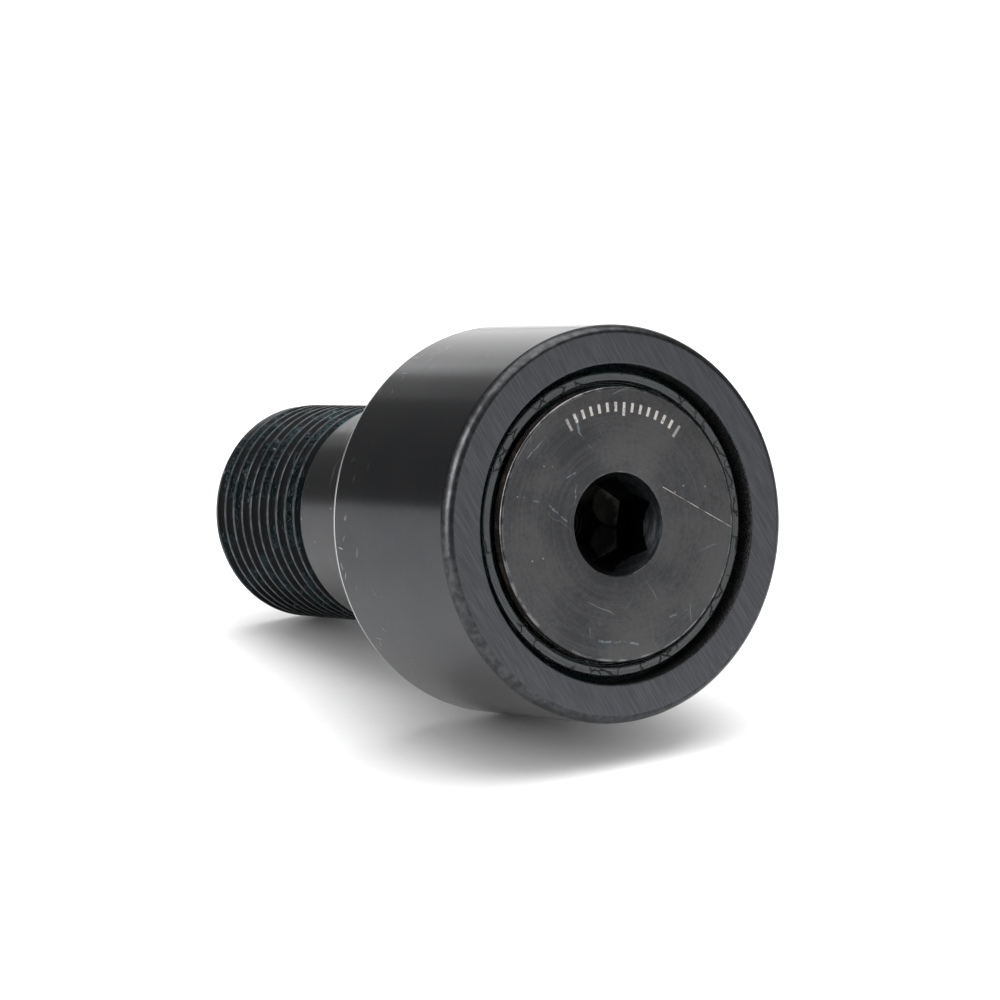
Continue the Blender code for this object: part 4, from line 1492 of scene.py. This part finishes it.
# %% Set the camera
CAMERA_PLACE = Vector((0.4299, -0.2576, 0.0471))
CAMERA_FORWARD = Vector((-0.8534, 0.5135, -0.0901)).normalized()
CAMERA_UP_HINT = Vector((-0.0206, 0.1395, 0.9900))
LENS_LENGTH = 183.06
SENSOR_WIDTH = 36.0
camera_right = CAMERA_FORWARD.cross(CAMERA_UP_HINT).normalized()
camera_up = camera_right.cross(CAMERA_FORWARD).normalized()
camera_data = bpy.data.cameras.new("camera")
camera_data.lens = LENS_LENGTH
camera_data.sensor_width = SENSOR_WIDTH
camera_data.clip_start = 0.01
camera_data.clip_end = 20.0
camera = bpy.data.objects.new("camera", camera_data)
bpy.context.scene.collection.objects.link(camera)
turn = Matrix((camera_right, camera_up, -CAMERA_FORWARD)).transposed().to_4x4()
camera.matrix_world = Matrix.Translation(CAMERA_PLACE) @ turn
bpy.context.scene.camera = camera
print("camera", round(CAMERA_PLACE.length / MM), "mm away")

# %% [markdown]
# ## Table surface and lights
# The table is matt white. Black steel only shows its shape through what it mirrors, so the lights are broad
# panels: a large one overhead for the soft shadow, a tall one beside the camera for the bright line on the
# roller's corner, a low wide one at the right that the face mirrors, one far behind that the top of the roller
# mirrors, and a small dim one beside that. They are placed in the table's own directions: right, away from the
# camera, and up.

# %% Lay the table
away = (CAMERA_FORWARD - table_up * CAMERA_FORWARD.dot(table_up)).normalized()
across = away.cross(table_up).normalized()
table_middle = table_up * table_level
TABLE_RADIUS = 0.60


def table_point(right, back, up):
    """A point in the table's directions, in metres from the spot under the follower."""
    return table_middle + across * right + away * back + table_up * up


clear_selection()
bpy.ops.mesh.primitive_circle_add(vertices=128, radius=TABLE_RADIUS, fill_type="NGON", location=(0, 0, 0))
table = bpy.context.object
table.name = "table_top"
bpy.ops.object.mode_set(mode="EDIT")
bpy.ops.mesh.select_all(action="SELECT")
bpy.ops.mesh.inset(thickness=TABLE_RADIUS * 0.5)
bpy.ops.object.mode_set(mode="OBJECT")
table.matrix_world = Matrix.Translation(table_middle) @ Matrix((across, away, table_up)).transposed().to_4x4()
take(table)
apply_places()
table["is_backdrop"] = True

table_white, tree, shader = new_finish("matt_white_table", Metallic=0.0)
place = own_place(tree)
mottle = noise(tree, place, 900.0, detail=4.0, roughness=0.6)
white = blend_colours(tree, mottle, (0.86, 0.86, 0.865, 1), (0.90, 0.90, 0.90, 1))
shader.inputs["Roughness"].default_value = 0.6
wire(tree, shader, Base_Color=white, Normal=relief(tree, mottle, 0.03 * MM))
output = tree.nodes["Material Output"]
see_through = put(tree, "ShaderNodeBsdfTransparent").outputs[0]
backside = put(tree, "ShaderNodeNewGeometry").outputs["Backfacing"]
sides = put(tree, "ShaderNodeMixShader", {0: backside, 1: shader.outputs[0], 2: see_through})
tree.links.new(sides.outputs[0], output.inputs["Surface"])
dress(table_white, table)

# %% Hang the light panels
def light_panel(name, middle, aim, width, height, brightness, for_table=True):
    """A soft panel. Brightness is what a mirror would see of it, where 1 is white. Only some light the table."""
    light = bpy.data.lights.new(name, "AREA")
    light.shape = "RECTANGLE"
    light.size = width
    light.size_y = height
    light.energy = brightness * math.pi * width * height
    panel = bpy.data.objects.new(name, light)
    bpy.context.scene.collection.objects.link(panel)
    panel.location = middle
    panel.rotation_mode = "QUATERNION"
    panel.rotation_quaternion = (middle - aim).to_track_quat("Z", "Y")
    panel.visible_camera = False
    panel.visible_diffuse = for_table
    print(f"{name}: {light.energy:.1f} W")
    return panel


target = table_point(0, 0, 0.02)
light_panel("overhead_panel", table_point(0.06, 0.08, 0.72), target, 0.80, 0.80, 3.4)
light_panel("corner_panel", table_point(-0.52, -0.42, 0.40), target, 0.36, 0.76, 8.5, for_table=False)
light_panel("right_panel", table_point(0.95, -0.75, 0.32), table_point(0, 0, 0.30), 1.10, 0.62, 0.85)
light_panel("back_panel", table_point(-0.04, 1.30, 0.27), table_point(0, 0, 0.27), 1.04, 0.56, 1.0, for_table=False)
light_panel("side_panel", table_point(-0.58, 1.14, 0.25), table_point(0, 0, 0.25), 0.36, 0.50, 0.34, for_table=False)

# %% Light the surroundings
world = bpy.data.worlds.new("studio")
bpy.context.scene.world = world
world.use_nodes = True
tree = world.node_tree
tree.nodes.clear()


def sky(strength):
    """An even white surround of this strength."""
    return put(tree, "ShaderNodeBackground", {"Color": (1, 1, 1, 1), "Strength": strength}).outputs[0]


MIRRORED_SKY = 0.28
rays = put(tree, "ShaderNodeLightPath").outputs
for_matt = put(tree, "ShaderNodeMixShader", {0: rays["Is Diffuse Ray"], 1: sky(MIRRORED_SKY), 2: sky(1.0)}).outputs[0]
for_all = put(tree, "ShaderNodeMixShader", {0: rays["Is Camera Ray"], 1: for_matt, 2: sky(1.0)}).outputs[0]
tree.links.new(for_all, put(tree, "ShaderNodeOutputWorld").inputs["Surface"])
bpy.context.scene.view_settings.view_transform = "Standard"

# %% [markdown]
# ## Check the sizes and finish
# The finer pieces must fit in the box of the engineering model. The last lines compare the two boxes and print
# whether the finer pieces stay inside.

# %% Compare both boxes
visual_low, visual_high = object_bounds()
ROUNDING = 1e-6
low_kept = all(v >= c - ROUNDING for v, c in zip(visual_low, cad_low))
high_kept = all(v <= c + ROUNDING for v, c in zip(visual_high, cad_high))
print("box kept:", low_kept, high_kept)
